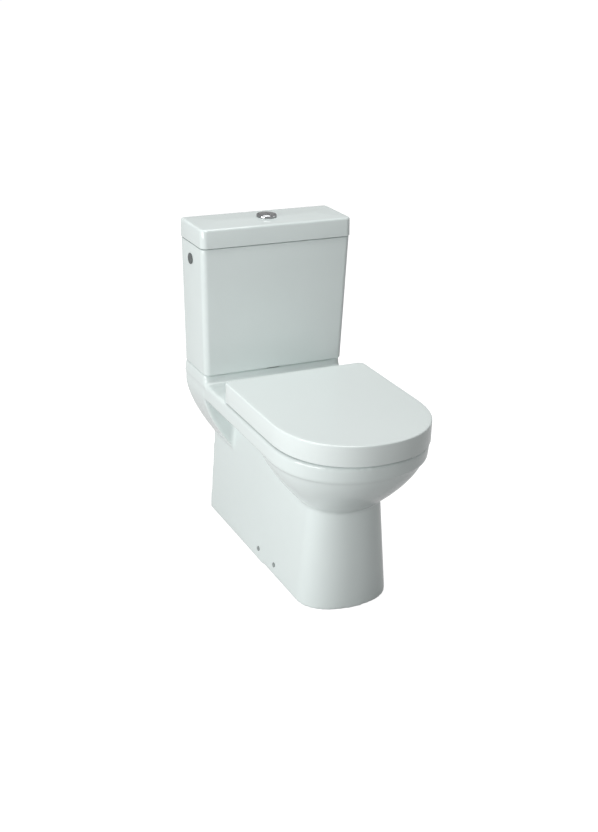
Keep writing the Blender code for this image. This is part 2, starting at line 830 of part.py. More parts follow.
def coil(low, high):
    # Return spring round a push rod, one unbroken wire
    sides, turn_steps = 4, 12
    rings = []
    count = spring_turns * turn_steps
    for step in range(count + 1):
        turn = tau * step / turn_steps
        outward = Vector((cos(turn), sin(turn), 0))
        centre = outward * spring_radius + Vector((0, 0, between(low, high, step / count)))
        rings.append([centre + spring_wire * (cos(tau * k / sides) * outward
                                              + Vector((0, 0, sin(tau * k / sides))))
                      for k in range(sides)])
    return loft(rings)


def tower_top():
    flange_top = tank_inside_floor + seat_gap * 2 + outlet_washer_height + valve_flange_height
    lifted = flange_top + overflow_length + plunger_travel
    return lifted + tower_head_height + valve_flange_height * 2


def make_flush_valve(plunger_axis):
    centre = point(0, cistern_axis, 0)
    washer_low = tank_inside_floor + seat_gap
    washer = disc(valve_flange_radius - seat_gap * 3, washer_low, washer_low + outlet_washer_height,
                  valve_tail_radius + seat_gap)
    finish(washer, "outlet_washer", "rubber", centre)
    flange_low = washer_low + outlet_washer_height + seat_gap
    flange_top = flange_low + valve_flange_height
    tail_low = flange_low - valve_tail_drop
    bore = valve_tail_radius - valve_tail_wall
    seat_edge = flange_top + valve_flange_height
    cage_top = flange_top + cage_height
    base = turned([(bore, tail_low), (valve_tail_radius, tail_low), (valve_tail_radius, flange_low),
                   (valve_flange_radius, flange_low), (valve_flange_radius, flange_top),
                   (cage_radius, flange_top), (cage_radius, cage_top),
                   (cage_radius - cage_wall, cage_top), (cage_radius - cage_wall, flange_top),
                   (valve_tail_radius, flange_top), (valve_tail_radius - valve_tail_wall / 2, seat_edge),
                   (bore, seat_edge)], 32)
    base = finish(base, "flush_valve_base", "white_plastic", centre)
    windows = bmesh.new()
    half = cage_window_width / 2
    middle = wall_y - cistern_axis
    reach = valve_flange_radius + overrun
    low, high = seat_edge + seal_height * 2, cage_top - cage_wall * 2
    add_box(windows, (-reach, middle - half, low), (reach, middle + half, high))
    combine(base, finish(windows, "cage_windows_across", None), 'DIFFERENCE')
    windows = bmesh.new()
    add_box(windows, (-half, middle - reach, low), (half, middle + reach, high))
    combine(base, finish(windows, "cage_windows_along", None), 'DIFFERENCE')

    nut_top = tank_bottom - seat_gap
    ring = nut(backnut_radius, nut_top - backnut_height, nut_top, valve_tail_radius + seat_gap, 8)
    finish(ring, "outlet_backnut", "white_plastic", centre)
    gasket_low = plinth_top - recess_depth + seat_gap
    web_top = nut_top - backnut_height - seat_gap
    outer = recess_radius - running_gap
    inner = backnut_radius + running_gap
    gasket = turned([(gasket_web, gasket_low), (outer, gasket_low), (outer, nut_top),
                     (inner, nut_top), (inner, web_top), (gasket_web, web_top)], 32)
    finish(gasket, "coupling_gasket", "rubber", centre)

    seal_low = seat_edge + seat_gap
    plate_low = seal_low + seal_height + seat_gap
    plate_top = plate_low + lift_plate_height
    tube_bore = overflow_radius - overflow_wall
    seal = disc(seal_radius, seal_low, seal_low + seal_height, tube_bore + seat_gap)
    finish(seal, "flush_seal", "rubber", centre, parent=plunger_axis)
    tube_top = plate_low + overflow_length
    tube = turned([(tube_bore, plate_low), (lift_plate_radius, plate_low),
                   (lift_plate_radius, plate_top), (overflow_radius, plate_top + lift_plate_height),
                   (overflow_radius, tube_top), (tube_bore, tube_top)])
    finish(tube, "overflow_tube", "blue_plastic", centre, parent=plunger_axis)

    low = cage_top + seat_gap
    top = tower_top()
    head = top - tower_head_height
    inner = tower_radius - tower_wall
    foot = cage_radius
    tower = turned([(0, top), (tower_radius, top), (tower_radius, low + cage_wall),
                    (foot, low + cage_wall), (foot, low), (inner, low), (inner, head), (0, head)], 24)
    tower = finish(tower, "flush_valve_tower", "white_plastic", centre)
    half = tower_window_width / 2
    margin = cage_wall * 3
    windows = box((-half, middle - reach, low + margin), (half, middle + reach, head - margin))
    combine(tower, finish(windows, "tower_windows", None), 'DIFFERENCE')
    holes = bmesh.new()
    for side in (-1, 1):
        add_rod(holes, point(side * rod_offset, cistern_axis, head - overrun),
                point(side * rod_offset, cistern_axis, top + overrun), rod_radius + running_gap, 12)
    combine(tower, finish(holes, "tower_rod_holes", None), 'DIFFERENCE')


def valve_face():
    # Inner face of the cistern side at the fill valve
    return tank_inside(side_hole_height, inner_flange_radius)


def pivot_place():
    x = valve_face() - inlet_washer_height - inner_flange_height - barrel_length - valve_head_length / 2
    return Vector((x, wall_y - side_hole_from_wall, side_hole_height + pivot_rise))


def make_fill_valve(float_axis):
    quarter = (0, pi / 2, 0)
    centre = point(0, side_hole_from_wall, side_hole_height)
    washer_high = valve_face() - seat_gap
    washer_low = washer_high - inlet_washer_height
    washer = disc(inner_flange_radius - seat_gap * 3, washer_low, washer_high, shank_radius + seat_gap)
    finish(washer, "inlet_washer", "rubber", centre, quarter)
    flange_high = washer_low - seat_gap
    flange_low = flange_high - inner_flange_height
    barrel_low = flange_low - barrel_length
    head_low = barrel_low - valve_head_length
    outside = tank_outside(side_hole_height, inlet_nut_radius)
    end = outside + shank_reach
    body = turned([(0, head_low), (valve_head_radius, head_low), (valve_head_radius, barrel_low),
                   (barrel_radius, barrel_low), (barrel_radius, flange_low),
                   (inner_flange_radius, flange_low), (inner_flange_radius, flange_high),
                   (shank_radius, flange_high), (shank_radius, end), (0, end)])
    body = finish(body, "fill_valve_body", "white_plastic", centre, quarter)
    pivot = pivot_place()
    half = pivot_ear_width / 2
    ear = box((pivot.x - half, pivot.y - pivot_ear_depth / 2, side_hole_height),
              (pivot.x + half, pivot.y + pivot_ear_depth / 2, pivot.z + half))
    combine(body, finish(ear, "pivot_ear", None), 'UNION')
    nozzle = bmesh.new()
    add_rod(nozzle, (pivot.x, pivot.y, side_hole_height - nozzle_drop),
            (pivot.x, pivot.y, side_hole_height), nozzle_radius)
    combine(body, finish(nozzle, "nozzle", None), 'UNION')
    bores = bmesh.new()
    add_rod(bores, (pivot.x, pivot.y, side_hole_height), (end + overrun, pivot.y, side_hole_height),
            shank_bore)
    combine(body, finish(bores, "inlet_bore", None), 'DIFFERENCE')
    bores = bmesh.new()
    add_rod(bores, (pivot.x, pivot.y, side_hole_height - nozzle_drop - overrun),
            (pivot.x, pivot.y, side_hole_height), nozzle_bore, 12)
    combine(body, finish(bores, "nozzle_bore", None), 'DIFFERENCE')
    reach = pivot_ear_depth / 2 + running_gap + arm_thickness
    bore = bmesh.new()
    add_rod(bore, pivot + Vector((0, reach, 0)), pivot - Vector((0, reach, 0)),
            pivot_pin_radius + seat_gap, 12)
    combine(body, finish(bore, "pivot_bore", None), 'DIFFERENCE')
    ring = nut(inlet_nut_radius, outside + seat_gap, outside + seat_gap + inlet_nut_height,
               shank_radius + seat_gap)
    finish(ring, "inlet_backnut", "brass", centre, quarter)

    pin = bmesh.new()
    add_rod(pin, (0, pivot_ear_depth / 2, 0), (0, -reach, 0), pivot_pin_radius, 12)
    finish(pin, "float_arm_pin", "steel", pivot)

    near = -pivot_ear_depth / 2 - running_gap
    low, high = -arm_height / 2, arm_height / 2
    arm = bmesh.new()
    add_box(arm, (-arm_reach, near - arm_thickness, low), (half, near, high))
    arm = finish(arm, "float_arm", "white_plastic", pivot, parent=float_axis)
    cross = box((-arm_reach, -float_offset - half, low),
                (-arm_reach + half * 2, near, low + arm_thickness))
    cross = finish(cross, "arm_cross", None, pivot, parent=float_axis)
    combine(arm, cross, 'UNION')
    stem_x = -arm_reach + half
    stem = bmesh.new()
    add_rod(stem, (stem_x, -float_offset, -float_stem_drop), (stem_x, -float_offset, 0),
            float_stem_radius, 12)
    combine(arm, finish(stem, "arm_stem", None, pivot, parent=float_axis), 'UNION')
    hole = bmesh.new()
    add_rod(hole, (0, near + overrun, 0), (0, near - arm_thickness - overrun, 0),
            pivot_pin_radius + seat_gap, 12)
    combine(arm, finish(hole, "arm_bore", None, pivot, parent=float_axis), 'DIFFERENCE')
    top = -float_stem_drop - seat_gap
    low = top - float_height
    inner = float_radius - float_wall
    cup = turned([(0, top), (float_radius, top), (float_radius, low), (inner, low),
                  (inner, top - float_wall), (0, top - float_wall)])
    place = pivot + Vector((stem_x, -float_offset, 0))
    finish(cup, "fill_valve_float", "blue_plastic", place, parent=float_axis)


def make_side_plug():
    quarter = (0, -pi / 2, 0)
    centre = point(0, spare_hole_from_wall, spare_hole_height)
    outside = tank_outside(spare_hole_height, plug_head_radius)
    inside = outside - tank_wall - plug_thread
    rim = plug_head_radius - plug_head_height / 2
    plug = turned([(0, inside), (plug_stem_radius, inside), (plug_stem_radius, outside + seat_gap),
                   (plug_head_radius, outside + seat_gap),
                   (plug_head_radius, outside + plug_head_height / 2),
                   (rim, outside + plug_head_height), (0, outside + plug_head_height)])
    finish(plug, "side_hole_plug", "dark_plastic", centre, quarter)
    high = tank_inside(spare_hole_height, plug_nut_radius) - seat_gap
    ring = nut(plug_nut_radius, high - plug_nut_height, high, plug_stem_radius + seat_gap)
    finish(ring, "side_plug_nut", "dark_plastic", centre, quarter)


def make_tank_bolts():
    head_low = tank_inside_floor + seat_gap * 2 + bolt_washer_height
    washer_high = slab_bottom - seat_gap
    washer_low = washer_high - bolt_washer_height / 2
    nut_high = washer_low - seat_gap
    bore = tank_bolt_radius + seat_gap
    for side, name in ((-1, "left"), (1, "right")):
        place = point(side * tank_bolt_spacing / 2, cistern_axis, 0)
        head_top = head_low + tank_bolt_head_height
        end = nut_high - wing_nut_height - bolt_end
        bolt = turned([(0, head_top), (tank_bolt_head, head_top), (tank_bolt_head, head_low),
                       (tank_bolt_radius, head_low), (tank_bolt_radius, end), (0, end)], 12)
        finish(bolt, "tank_bolt_" + name, "steel", place)
        low = tank_inside_floor + seat_gap
        finish(disc(bolt_washer_radius, low, low + bolt_washer_height, bore, 16),
               "bolt_head_washer_" + name, "rubber", place)
        finish(disc(bolt_washer_radius, washer_low, washer_high, bore, 16),
               "wing_nut_washer_" + name, "steel", place)
        hub = finish(disc(wing_nut_radius, nut_high - wing_nut_height, nut_high, bore, 16),
                     "wing_nut_" + name, "brass", place)
        wing = wing_thickness / 2
        wings = bmesh.new()
        for direction in (-1, 1):
            inner, outer = sorted((direction * (bore + wing), direction * wing_span / 2))
            add_box(wings, (-wing, inner, nut_high - wing_nut_height * 0.9),
                    (wing, outer, nut_high - wing_nut_height * 0.2))
        combine(hub, finish(wings, "wings_" + name, None, place), 'UNION')


def ear_plate(side, near, width, reach):
    # Flat lug whose round end is on the hinge axis
    rings = []
    for x in (near, near + width):
        ring = [point(side * x, hinge_from_wall - ear_radius * cos(pi * (k / 8 - 0.5)),
                      hinge_height + ear_radius * sin(pi * (0.5 - k / 8))) for k in range(9)]
        ring += [point(side * x, reach, hinge_height - ear_radius),
                 point(side * x, reach, hinge_height + ear_radius)]
        rings.append(ring)
    return loft(rings)


def hinge_stations():
    # Near edges of the seat's ear, the post and the cover's ear, outward from the middle
    post = hinge_spacing / 2 - post_width / 2
    return post - running_gap - ear_width, post, post + post_width + running_gap


def hinge_bore():
    reach = hinge_spacing / 2 + post_width + ear_width + overrun
    bore = bmesh.new()
    add_rod(bore, point(-reach, hinge_from_wall, hinge_height),
            point(reach, hinge_from_wall, hinge_height), hinge_pin_radius + seat_gap)
    return bore


def make_hinges():
    seat_ear, post, cover_ear = hinge_stations()
    for side, name in ((-1, "left"), (1, "right")):
        place = point(side * hinge_spacing / 2, hinge_from_wall, 0)
        foot = rim_height + seat_gap
        base = turned([(0, foot - stud_length), (stud_radius, foot - stud_length), (stud_radius, foot),
                       (post_foot_radius, foot), (post_foot_radius, foot + post_foot_height * 0.6),
                       (post_foot_radius * 0.8, foot + post_foot_height), (0, foot + post_foot_height)])
        piece = finish(base, "hinge_post_" + name, "chrome", place)
        rings = []
        for x in (post, post + post_width):
            ring = [point(side * x, hinge_from_wall - ear_radius * cos(pi * k / 8),
                          hinge_height + ear_radius * sin(pi * k / 8)) for k in range(9)]
            ring += [point(side * x, hinge_from_wall + ear_radius, foot + post_foot_height / 2),
                     point(side * x, hinge_from_wall - ear_radius, foot + post_foot_height / 2)]
            rings.append(ring)
        combine(piece, finish(loft(rings), "post_eye_" + name, None), 'UNION')
        combine(piece, finish(hinge_bore(), "post_bore_" + name, None), 'DIFFERENCE')
        inner = seat_ear - running_gap * 2
        outer = cover_ear + ear_width + running_gap
        pin = turned([(0, inner), (hinge_pin_radius, inner), (hinge_pin_radius, outer),
                      (pin_head_radius, outer), (pin_head_radius, outer + pin_head_height),
                      (0, outer + pin_head_height)], 16)
        finish(pin, "hinge_pin_" + name, "steel", point(0, hinge_from_wall, hinge_height),
               (0, side * pi / 2, 0))
        bush_low = rim_height - bush_hole_depth + seat_gap
        bush = disc(bush_radius, bush_low, rim_height - seat_gap, stud_radius + seat_gap, 16)
        finish(bush, "seat_fixing_bush_" + name, "rubber", place)


seat_across_shares = (0.0, 0.0, 0.05, 0.18, 0.5, 0.84, 0.96, 1.0, 0.95)
seat_height_shares = (0.0, 0.70, 0.93, 1.0, 0.98, 0.84, 0.66, 0.4, 0.0)


def make_seat(axis):
    rings = []
    outer = d_outline(0, seat_half, seat_half, seat_back, pan_straight, seat_front, cover_corner)
    hole = d_outline(0, seat_hole_width / 2, seat_hole_width / 2, seat_hole_back, pan_straight,
                     seat_hole_front, seat_hole_corner)
    for across, height in zip(seat_across_shares, seat_height_shares):
        level = Vector((0, 0, seat_bottom + seat_thickness * height))
        rings.append([a.lerp(b, across) + level for a, b in zip(outer, hole)])
    ring = finish(loft(rings, closed=True), "seat_ring", "seat_plastic", parent=axis)
    near = hinge_stations()[0]
    for side, name in ((-1, "left"), (1, "right")):
        ears = ear_plate(side, near, ear_width, seat_back + cover_corner)
        combine(ring, finish(ears, "seat_ear_" + name, None, parent=axis), 'UNION')
    combine(ring, finish(hinge_bore(), "seat_bore", None, parent=axis), 'DIFFERENCE')
    low = rim_height + seat_gap
    for index, (x_share, along_share) in enumerate(seat_buffer_shares):
        place = point(seat_half * x_share, between(seat_back, seat_front, along_share), 0)
        finish(disc(buffer_radius, low, seat_bottom - seat_gap, steps=16),
               f"seat_buffer_{index + 1}", "rubber", place, parent=axis)


seat_buffer_shares = ((-0.82, 0.16), (0.82, 0.16), (-0.74, 0.68), (0.74, 0.68))
cover_buffer_shares = ((-0.80, 0.50), (0.80, 0.50))


def cover_ring(z, inset):
    corner = max(cover_corner - inset, cover_corner / 4)
    return d_outline(z, cover_half - inset, cover_half - inset, cover_back + inset,
                     pan_straight, cover_length_front - inset, corner)


def make_cover(axis):
    edge = cover_edge
    under = cover_top_height - cover_top
    rings = [cover_ring(under, cover_wall + edge),
             cover_ring(under - edge, cover_wall),
             cover_ring(seat_bottom, cover_wall),
             cover_ring(seat_bottom, cover_wall * 0.2),
             cover_ring(seat_bottom + cover_wall * 0.2, 0),
             cover_ring(cover_top_height - edge, 0),
             cover_ring(cover_top_height - edge * 0.3, edge * 0.3)]
    reach = cover_half * 0.86
    for step in range(4):
        inset = between(edge, reach, step / 3)
        rings.append(cover_ring(cover_top_height + cover_crown * (1 - (1 - inset / reach) ** 2), inset))
    cover = finish(loft(rings), "seat_cover", "seat_plastic", parent=axis)
    seat_ear, post, cover_ear = hinge_stations()
    notches = bmesh.new()
    near, far = wall_y - cover_back + overrun, wall_y - cover_back - cover_wall - seat_gap
    for side in (-1, 1):
        low, high = sorted((side * (seat_ear - notch_clearance), side * (post - notch_clearance / 3)))
        add_box(notches, (low, far, seat_bottom - overrun),
                (high, near, hinge_height + ear_radius + notch_clearance))
    combine(cover, finish(notches, "ear_notches", None, parent=axis), 'DIFFERENCE')
    for side, name in ((-1, "left"), (1, "right")):
        ears = ear_plate(side, cover_ear, ear_width, cover_back + cover_wall / 2)
        combine(cover, finish(ears, "cover_ear_" + name, None, parent=axis), 'UNION')
    combine(cover, finish(hinge_bore(), "cover_bore", None, parent=axis), 'DIFFERENCE')
    for index, (x_share, along_share) in enumerate(cover_buffer_shares):
        place = point(seat_half * x_share, between(seat_back, seat_front, along_share), 0)
        finish(disc(buffer_radius, seat_top + seat_gap, under - seat_gap, steps=16),
               f"cover_buffer_{index + 1}", "rubber", place, parent=axis)


def make_side_fixings():
    middle = (fix_places()[0] + fix_places()[1]) / 2
    narrowest = min(pedestal_side(bracket_height, from_wall) for from_wall in
                    (middle - bracket_length, fix_front + fix_spacing))
    inner_face = narrowest - ceramic_wall - seat_gap * 2
    count = 0
    for side, name in ((-1, "left"), (1, "right")):
        thin = bracket_thickness
        section = ((0, 0), (bracket_foot, 0), (bracket_foot, thin), (thin, thin),
                   (thin, bracket_height), (0, bracket_height))
        bracket = loft([[point(side * (inner_face - x), along, z) for x, z in section]
                        for along in (middle - bracket_length / 2, middle + bracket_length / 2)])
        bracket = finish(bracket, "floor_bracket_" + name, "steel")
        holes = bmesh.new()
        for from_wall in fix_places():
            inside = side * (inner_face - bracket_thickness - overrun)
            add_rod(holes, point(inside, from_wall, fix_height),
                    point(side * (inner_face + overrun), from_wall, fix_height),
                    fix_screw_radius + seat_gap, 12)
        combine(bracket, finish(holes, "bracket_holes_" + name, None), 'DIFFERENCE')
        for from_wall in fix_places():
            count += 1
            place = point(0, from_wall, fix_height)
            turn = (0, side * pi / 2, 0)
            head = cap_face(from_wall) + seat_gap
            end = inner_face - bracket_thickness - overrun / 2
            screw = turned([(0, end), (fix_screw_radius, end), (fix_screw_radius, head),
                            (fix_screw_head, head), (fix_screw_head, head + fix_screw_head_height),
                            (0, head + fix_screw_head_height)], 12)
            finish(screw, f"side_screw_{count}", "steel", place, turn)
            top = head + fix_cap_height
            inner = fix_cap_radius - fix_cap_wall
            cap = turned([(0, top), (fix_cap_radius * 0.8, top), (fix_cap_radius, top - fix_cap_wall),
                          (fix_cap_radius, head), (inner, head), (inner, top - fix_cap_wall),
                          (0, top - fix_cap_wall)], 20)
            finish(cap, f"side_screw_cap_{count}", "dark_plastic", place, turn)


def main():
    hinge = point(0, hinge_from_wall, hinge_height)
    lid_axis = joint_axis("lid_lift_axis", point(0, cistern_axis, lid_bottom))
    full_axis = joint_axis("full_button_axis", point(rod_offset, cistern_axis, bezel_top))
    half_axis = joint_axis("half_button_axis", point(-rod_offset, cistern_axis, bezel_top))
    plunger_axis = joint_axis("plunger_axis", point(0, cistern_axis, tank_inside_floor))
    float_axis = joint_axis("float_arm_axis", pivot_place(), radians(-float_drop_angle))
    seat_axis = joint_axis("seat_hinge_axis", hinge)
    cover_axis = joint_axis("cover_hinge_axis", hinge)
    make_pan()
    make_tank()
    make_lid(lid_axis)
    make_button_set(lid_axis, full_axis, half_axis)
    make_flush_valve(plunger_axis)
    make_fill_valve(float_axis)
    make_side_plug()
    make_tank_bolts()
    make_hinges()
    make_seat(seat_axis)
    make_cover(cover_axis)
    make_side_fixings()


main()
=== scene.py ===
import json
from math import copysign, cos, pi, radians, sin, tau

import bmesh
import bpy
from mathutils import Matrix, Vector


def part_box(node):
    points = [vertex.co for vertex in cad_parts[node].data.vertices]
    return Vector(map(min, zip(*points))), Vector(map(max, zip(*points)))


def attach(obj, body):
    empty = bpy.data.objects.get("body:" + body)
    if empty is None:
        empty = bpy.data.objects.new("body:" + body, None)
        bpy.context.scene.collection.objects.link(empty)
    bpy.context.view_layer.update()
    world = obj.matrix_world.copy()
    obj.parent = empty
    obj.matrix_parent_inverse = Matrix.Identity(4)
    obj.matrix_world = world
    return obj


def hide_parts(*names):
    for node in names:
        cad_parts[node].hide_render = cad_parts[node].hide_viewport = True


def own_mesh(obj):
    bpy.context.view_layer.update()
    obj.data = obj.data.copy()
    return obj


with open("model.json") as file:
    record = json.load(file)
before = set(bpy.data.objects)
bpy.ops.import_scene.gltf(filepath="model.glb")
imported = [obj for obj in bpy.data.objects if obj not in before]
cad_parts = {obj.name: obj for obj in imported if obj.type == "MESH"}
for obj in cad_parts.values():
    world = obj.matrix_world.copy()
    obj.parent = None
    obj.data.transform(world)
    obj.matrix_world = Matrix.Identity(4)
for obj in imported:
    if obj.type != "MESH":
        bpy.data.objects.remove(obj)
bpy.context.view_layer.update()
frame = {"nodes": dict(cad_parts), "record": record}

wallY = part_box("pan")[1].y  # the wall plane behind the pan
cisternAxis = 0.071  # distance from the wall of the outlet, the cistern bolts and the flush button
clear = 0.0003  # gap that keeps two forms from sharing a face
weld = 0.000001
print("frame loaded:", len(frame["nodes"]), "nodes")


# Places and small helpers

def spot(x, fromWall, z):
    return Vector((x, wallY - fromWall, z))


def mix(low, high, share):
    return low + (high - low) * share


def along(rows, share):
    # smooth value between the rows of a small table, share running 0 to 1 down it
    last = len(rows) - 1
    at = min(max(share, 0), 1) * last
    k = min(int(at), last - 1)
    t = at - k
    values = []
    for a, b, c, d in zip(rows[max(k - 1, 0)], rows[k], rows[k + 1], rows[min(k + 2, last)]):
        values.append(b + 0.5 * t * (c - a + t * (2 * a - 5 * b + 4 * c - d + t * (3 * (b - c) + d - a))))
    return values


def quarter(steps):
    return [pi / 2 * k / steps for k in range(steps + 1)]


def roundOver(radius, steps):
    # inset and drop of each point round a quarter circle, from the side up to the top
    return [(radius * (1 - cos(t)), radius * (1 - sin(t))) for t in quarter(steps)]


# Turning meshes into pieces

def pieceFrom(mesh, name, angle=35):
    data = bpy.data.meshes.new(name)
    mesh.to_mesh(data)
    mesh.free()
    data.shade_smooth()
    data.set_sharp_from_angle(angle=radians(angle))
    piece = bpy.data.objects.new(name, data)
    bpy.context.scene.collection.objects.link(piece)
    return piece


def settle(piece):
    # bake the piece's modifiers into its mesh
    graph = bpy.context.evaluated_depsgraph_get()
    data = bpy.data.meshes.new_from_object(piece.evaluated_get(graph))
    piece.modifiers.clear()
    piece.data = data
    return piece


def cut(piece, tools, operation="DIFFERENCE"):
    for tool in tools:
        step = piece.modifiers.new(tool.name, "BOOLEAN")
        step.operation = operation
        step.solver = "EXACT"
        step.object = tool
    settle(piece)
    for tool in tools:
        bpy.data.objects.remove(tool, do_unlink=True)
    return piece


def crisp(piece, angle=35):
    piece.data.shade_smooth()
    piece.data.set_sharp_from_angle(angle=radians(angle))
    return piece


def dress(piece, body, nodes, finish):
    piece.data.materials.clear()
    piece.data.materials.append(finish)
    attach(piece, body)
    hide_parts(*nodes)
    return piece


# Shapes grown with mesh operators

def outward(mesh):
    bmesh.ops.recalc_face_normals(mesh, faces=mesh.faces)
    if mesh.calc_volume(signed=True) < 0:
        bmesh.ops.reverse_faces(mesh, faces=mesh.faces)
    return mesh


def skin(rings, closed=False):
    # a circle of points laid on the first outline, then pulled out from outline to outline
    mesh = bmesh.new()
    verts = bmesh.ops.create_circle(mesh, segments=len(rings[0]), radius=1)["verts"]
    edges = mesh.edges[:]
    order = {vert: k for k, vert in enumerate(verts)}
    for vert, k in order.items():
        vert.co = rings[0][k]
    first = edges
    for ring in rings[1:]:
        grown = bmesh.ops.extrude_edge_only(mesh, edges=edges)["geom"]
        fresh = {g for g in grown if isinstance(g, bmesh.types.BMVert)}
        step = {}
        for vert in fresh:
            for edge in vert.link_edges:
                other = edge.other_vert(vert)
                if other in order:
                    step[vert] = order[other]
        for vert, k in step.items():
            vert.co = ring[k]
        edges = [g for g in grown if isinstance(g, bmesh.types.BMEdge)
                 and g.verts[0] in fresh and g.verts[1] in fresh]
        order = step
    if closed:
        bmesh.ops.bridge_loops(mesh, edges=first + edges)
    else:
        bmesh.ops.contextual_create(mesh, geom=first)
        bmesh.ops.contextual_create(mesh, geom=edges)
    return outward(mesh)


def dOutline(z, halfFront, halfBack, back, straight, front, corner=0.0, power=2.2,
             arc=96, side=12, cornerSteps=6, rear=8):
    # plan outline with a straight back and a rounded front, from the right side round
    lean = 2 / power
    ring = []
    for k in range(side):
        share = k / side
        ring.append(spot(mix(halfBack, halfFront, share), mix(back + corner, straight, share), z))
    for k in range(arc + 1):
        turn = pi * k / arc
        x = halfFront * copysign(abs(cos(turn)) ** lean, cos(turn))
        ring.append(spot(x, mix(straight, front, sin(turn) ** lean if 0 < k < arc else 0), z))
    for k in range(1, side + 1):
        share = 1 - k / side
        ring.append(spot(-mix(halfBack, halfFront, share), mix(back + corner, straight, share), z))
    for k in range(1, cornerSteps + 1):
        turn = pi / 2 * k / cornerSteps
        ring.append(spot(-halfBack + corner * (1 - cos(turn)), back + corner * (1 - sin(turn)), z))
    for k in range(1, rear):
        ring.append(spot(mix(-1, 1, k / rear) * (halfBack - corner), back, z))
    for k in range(cornerSteps, 0, -1):
        turn = pi / 2 * k / cornerSteps
        ring.append(spot(halfBack - corner * (1 - cos(turn)), back + corner * (1 - sin(turn)), z))
    return ring


def ovalOutline(z, half, back, middle, front, power=2.2, steps=144):
    lean = 2 / power
    ring = []
    for k in range(steps):
        turn = tau * k / steps
        reach = front - middle if sin(turn) > 0 else middle - back
        ring.append(spot(half * copysign(abs(cos(turn)) ** lean, cos(turn)),
                         middle + reach * copysign(abs(sin(turn)) ** lean, sin(turn)), z))
    return ring


def boxOutline(z, half, back, front, frontCorner, backCorner, steps=8):
    corners = ((1, front, -1, frontCorner), (-1, front, -1, frontCorner),
               (-1, back, 1, backCorner), (1, back, 1, backCorner))
    ring = []
    for number, (side, edge, inward, radius) in enumerate(corners):
        for k in range(steps + 1):
            turn = pi / 2 * (number + k / steps)
            ring.append(spot(side * (half - radius) + radius * cos(turn),
                             edge + inward * radius + radius * sin(turn), z))
    return ring


def crowned(f, ring):
    # lifts an outline towards the middle of the form that it belongs to
    middle, reach = mix(f["back"], f["front"], 0.5), (f["front"] - f["back"]) / 2
    for place in ring:
        across, deep = place.x / f["half"], (wallY - place.y - middle) / reach
        place.z += f["crown"] * (1 - across * across) * (1 - deep * deep)
    return ring


def tube(rows, extra=0.0, steps=40, sides=40):
    # round pipe in the middle plane; the rows hold distance from the wall, height and radius
    points = [along(rows, k / steps) for k in range(steps + 1)]
    rings = []
    for k, (fromWall, z, radius) in enumerate(points):
        before, after = points[max(k - 1, 0)], points[min(k + 1, steps)]
        ahead = (spot(0, *after[:2]) - spot(0, *before[:2])).normalized()
        across = Vector((1, 0, 0))
        up = ahead.cross(across)
        rings.append([spot(0, fromWall, z) + (radius + extra) * (cos(tau * j / sides) * across
                                                                 + sin(tau * j / sides) * up)
                      for j in range(sides)])
    return skin(rings)


def rod(start, end, radius, segments=48):
    mesh = bmesh.new()
    turn = Vector((0, 0, 1)).rotation_difference(end - start).to_matrix().to_4x4()
    bmesh.ops.create_cone(mesh, cap_ends=True, segments=segments, radius1=radius, radius2=radius,
                          depth=(end - start).length, matrix=Matrix.Translation((start + end) / 2) @ turn)
    return mesh


def upright(x, heights, radius, segments=48):
    # rod on the cistern's axis plane, between two heights
    return rod(spot(x, cisternAxis, heights[0]), spot(x, cisternAxis, heights[1]), radius, segments)


def block(low, high):
    mesh = bmesh.new()
    bmesh.ops.create_cube(mesh, size=1, matrix=Matrix.Translation((low + high) / 2)
                          @ Matrix.Diagonal((*(high - low), 1)))
    return mesh


def turned(profile, steps=96):
    # profile of radius and height spun about Z; one that starts off the axis is a closed ring
    mesh = bmesh.new()
    verts = [mesh.verts.new((radius, 0, height)) for radius, height in profile]
    edges = [mesh.edges.new(ends) for ends in zip(verts, verts[1:])]
    if profile[0][0] > 0:
        edges.append(mesh.edges.new((verts[-1], verts[0])))
    bmesh.ops.spin(mesh, geom=verts + edges, cent=(0, 0, 0), axis=(0, 0, 1), angle=tau, steps=steps,
                   use_merge=True)
    bmesh.ops.remove_doubles(mesh, verts=mesh.verts, dist=weld)
    return outward(mesh)


def rounded(mesh, edges, radius, segments):
    return bmesh.ops.bevel(mesh, geom=list(edges), offset=radius, offset_type="OFFSET", segments=segments,
                           profile=0.5, affect="EDGES", clamp_overlap=True, material=-1)


# Shader helpers: a socket that takes part in plain sums, and one way to make a node

class Flow:
    def __init__(self, paint, socket):
        self.paint, self.socket = paint, socket

    def maths(self, operation, first, second):
        return self.paint.node("ShaderNodeMath", {"operation": operation}, {0: first, 1: second})

    def __add__(self, other):
        return self.maths("ADD", self, other)

    def __mul__(self, other):
        return self.maths("MULTIPLY", self, other)

    __radd__, __rmul__ = __add__, __mul__


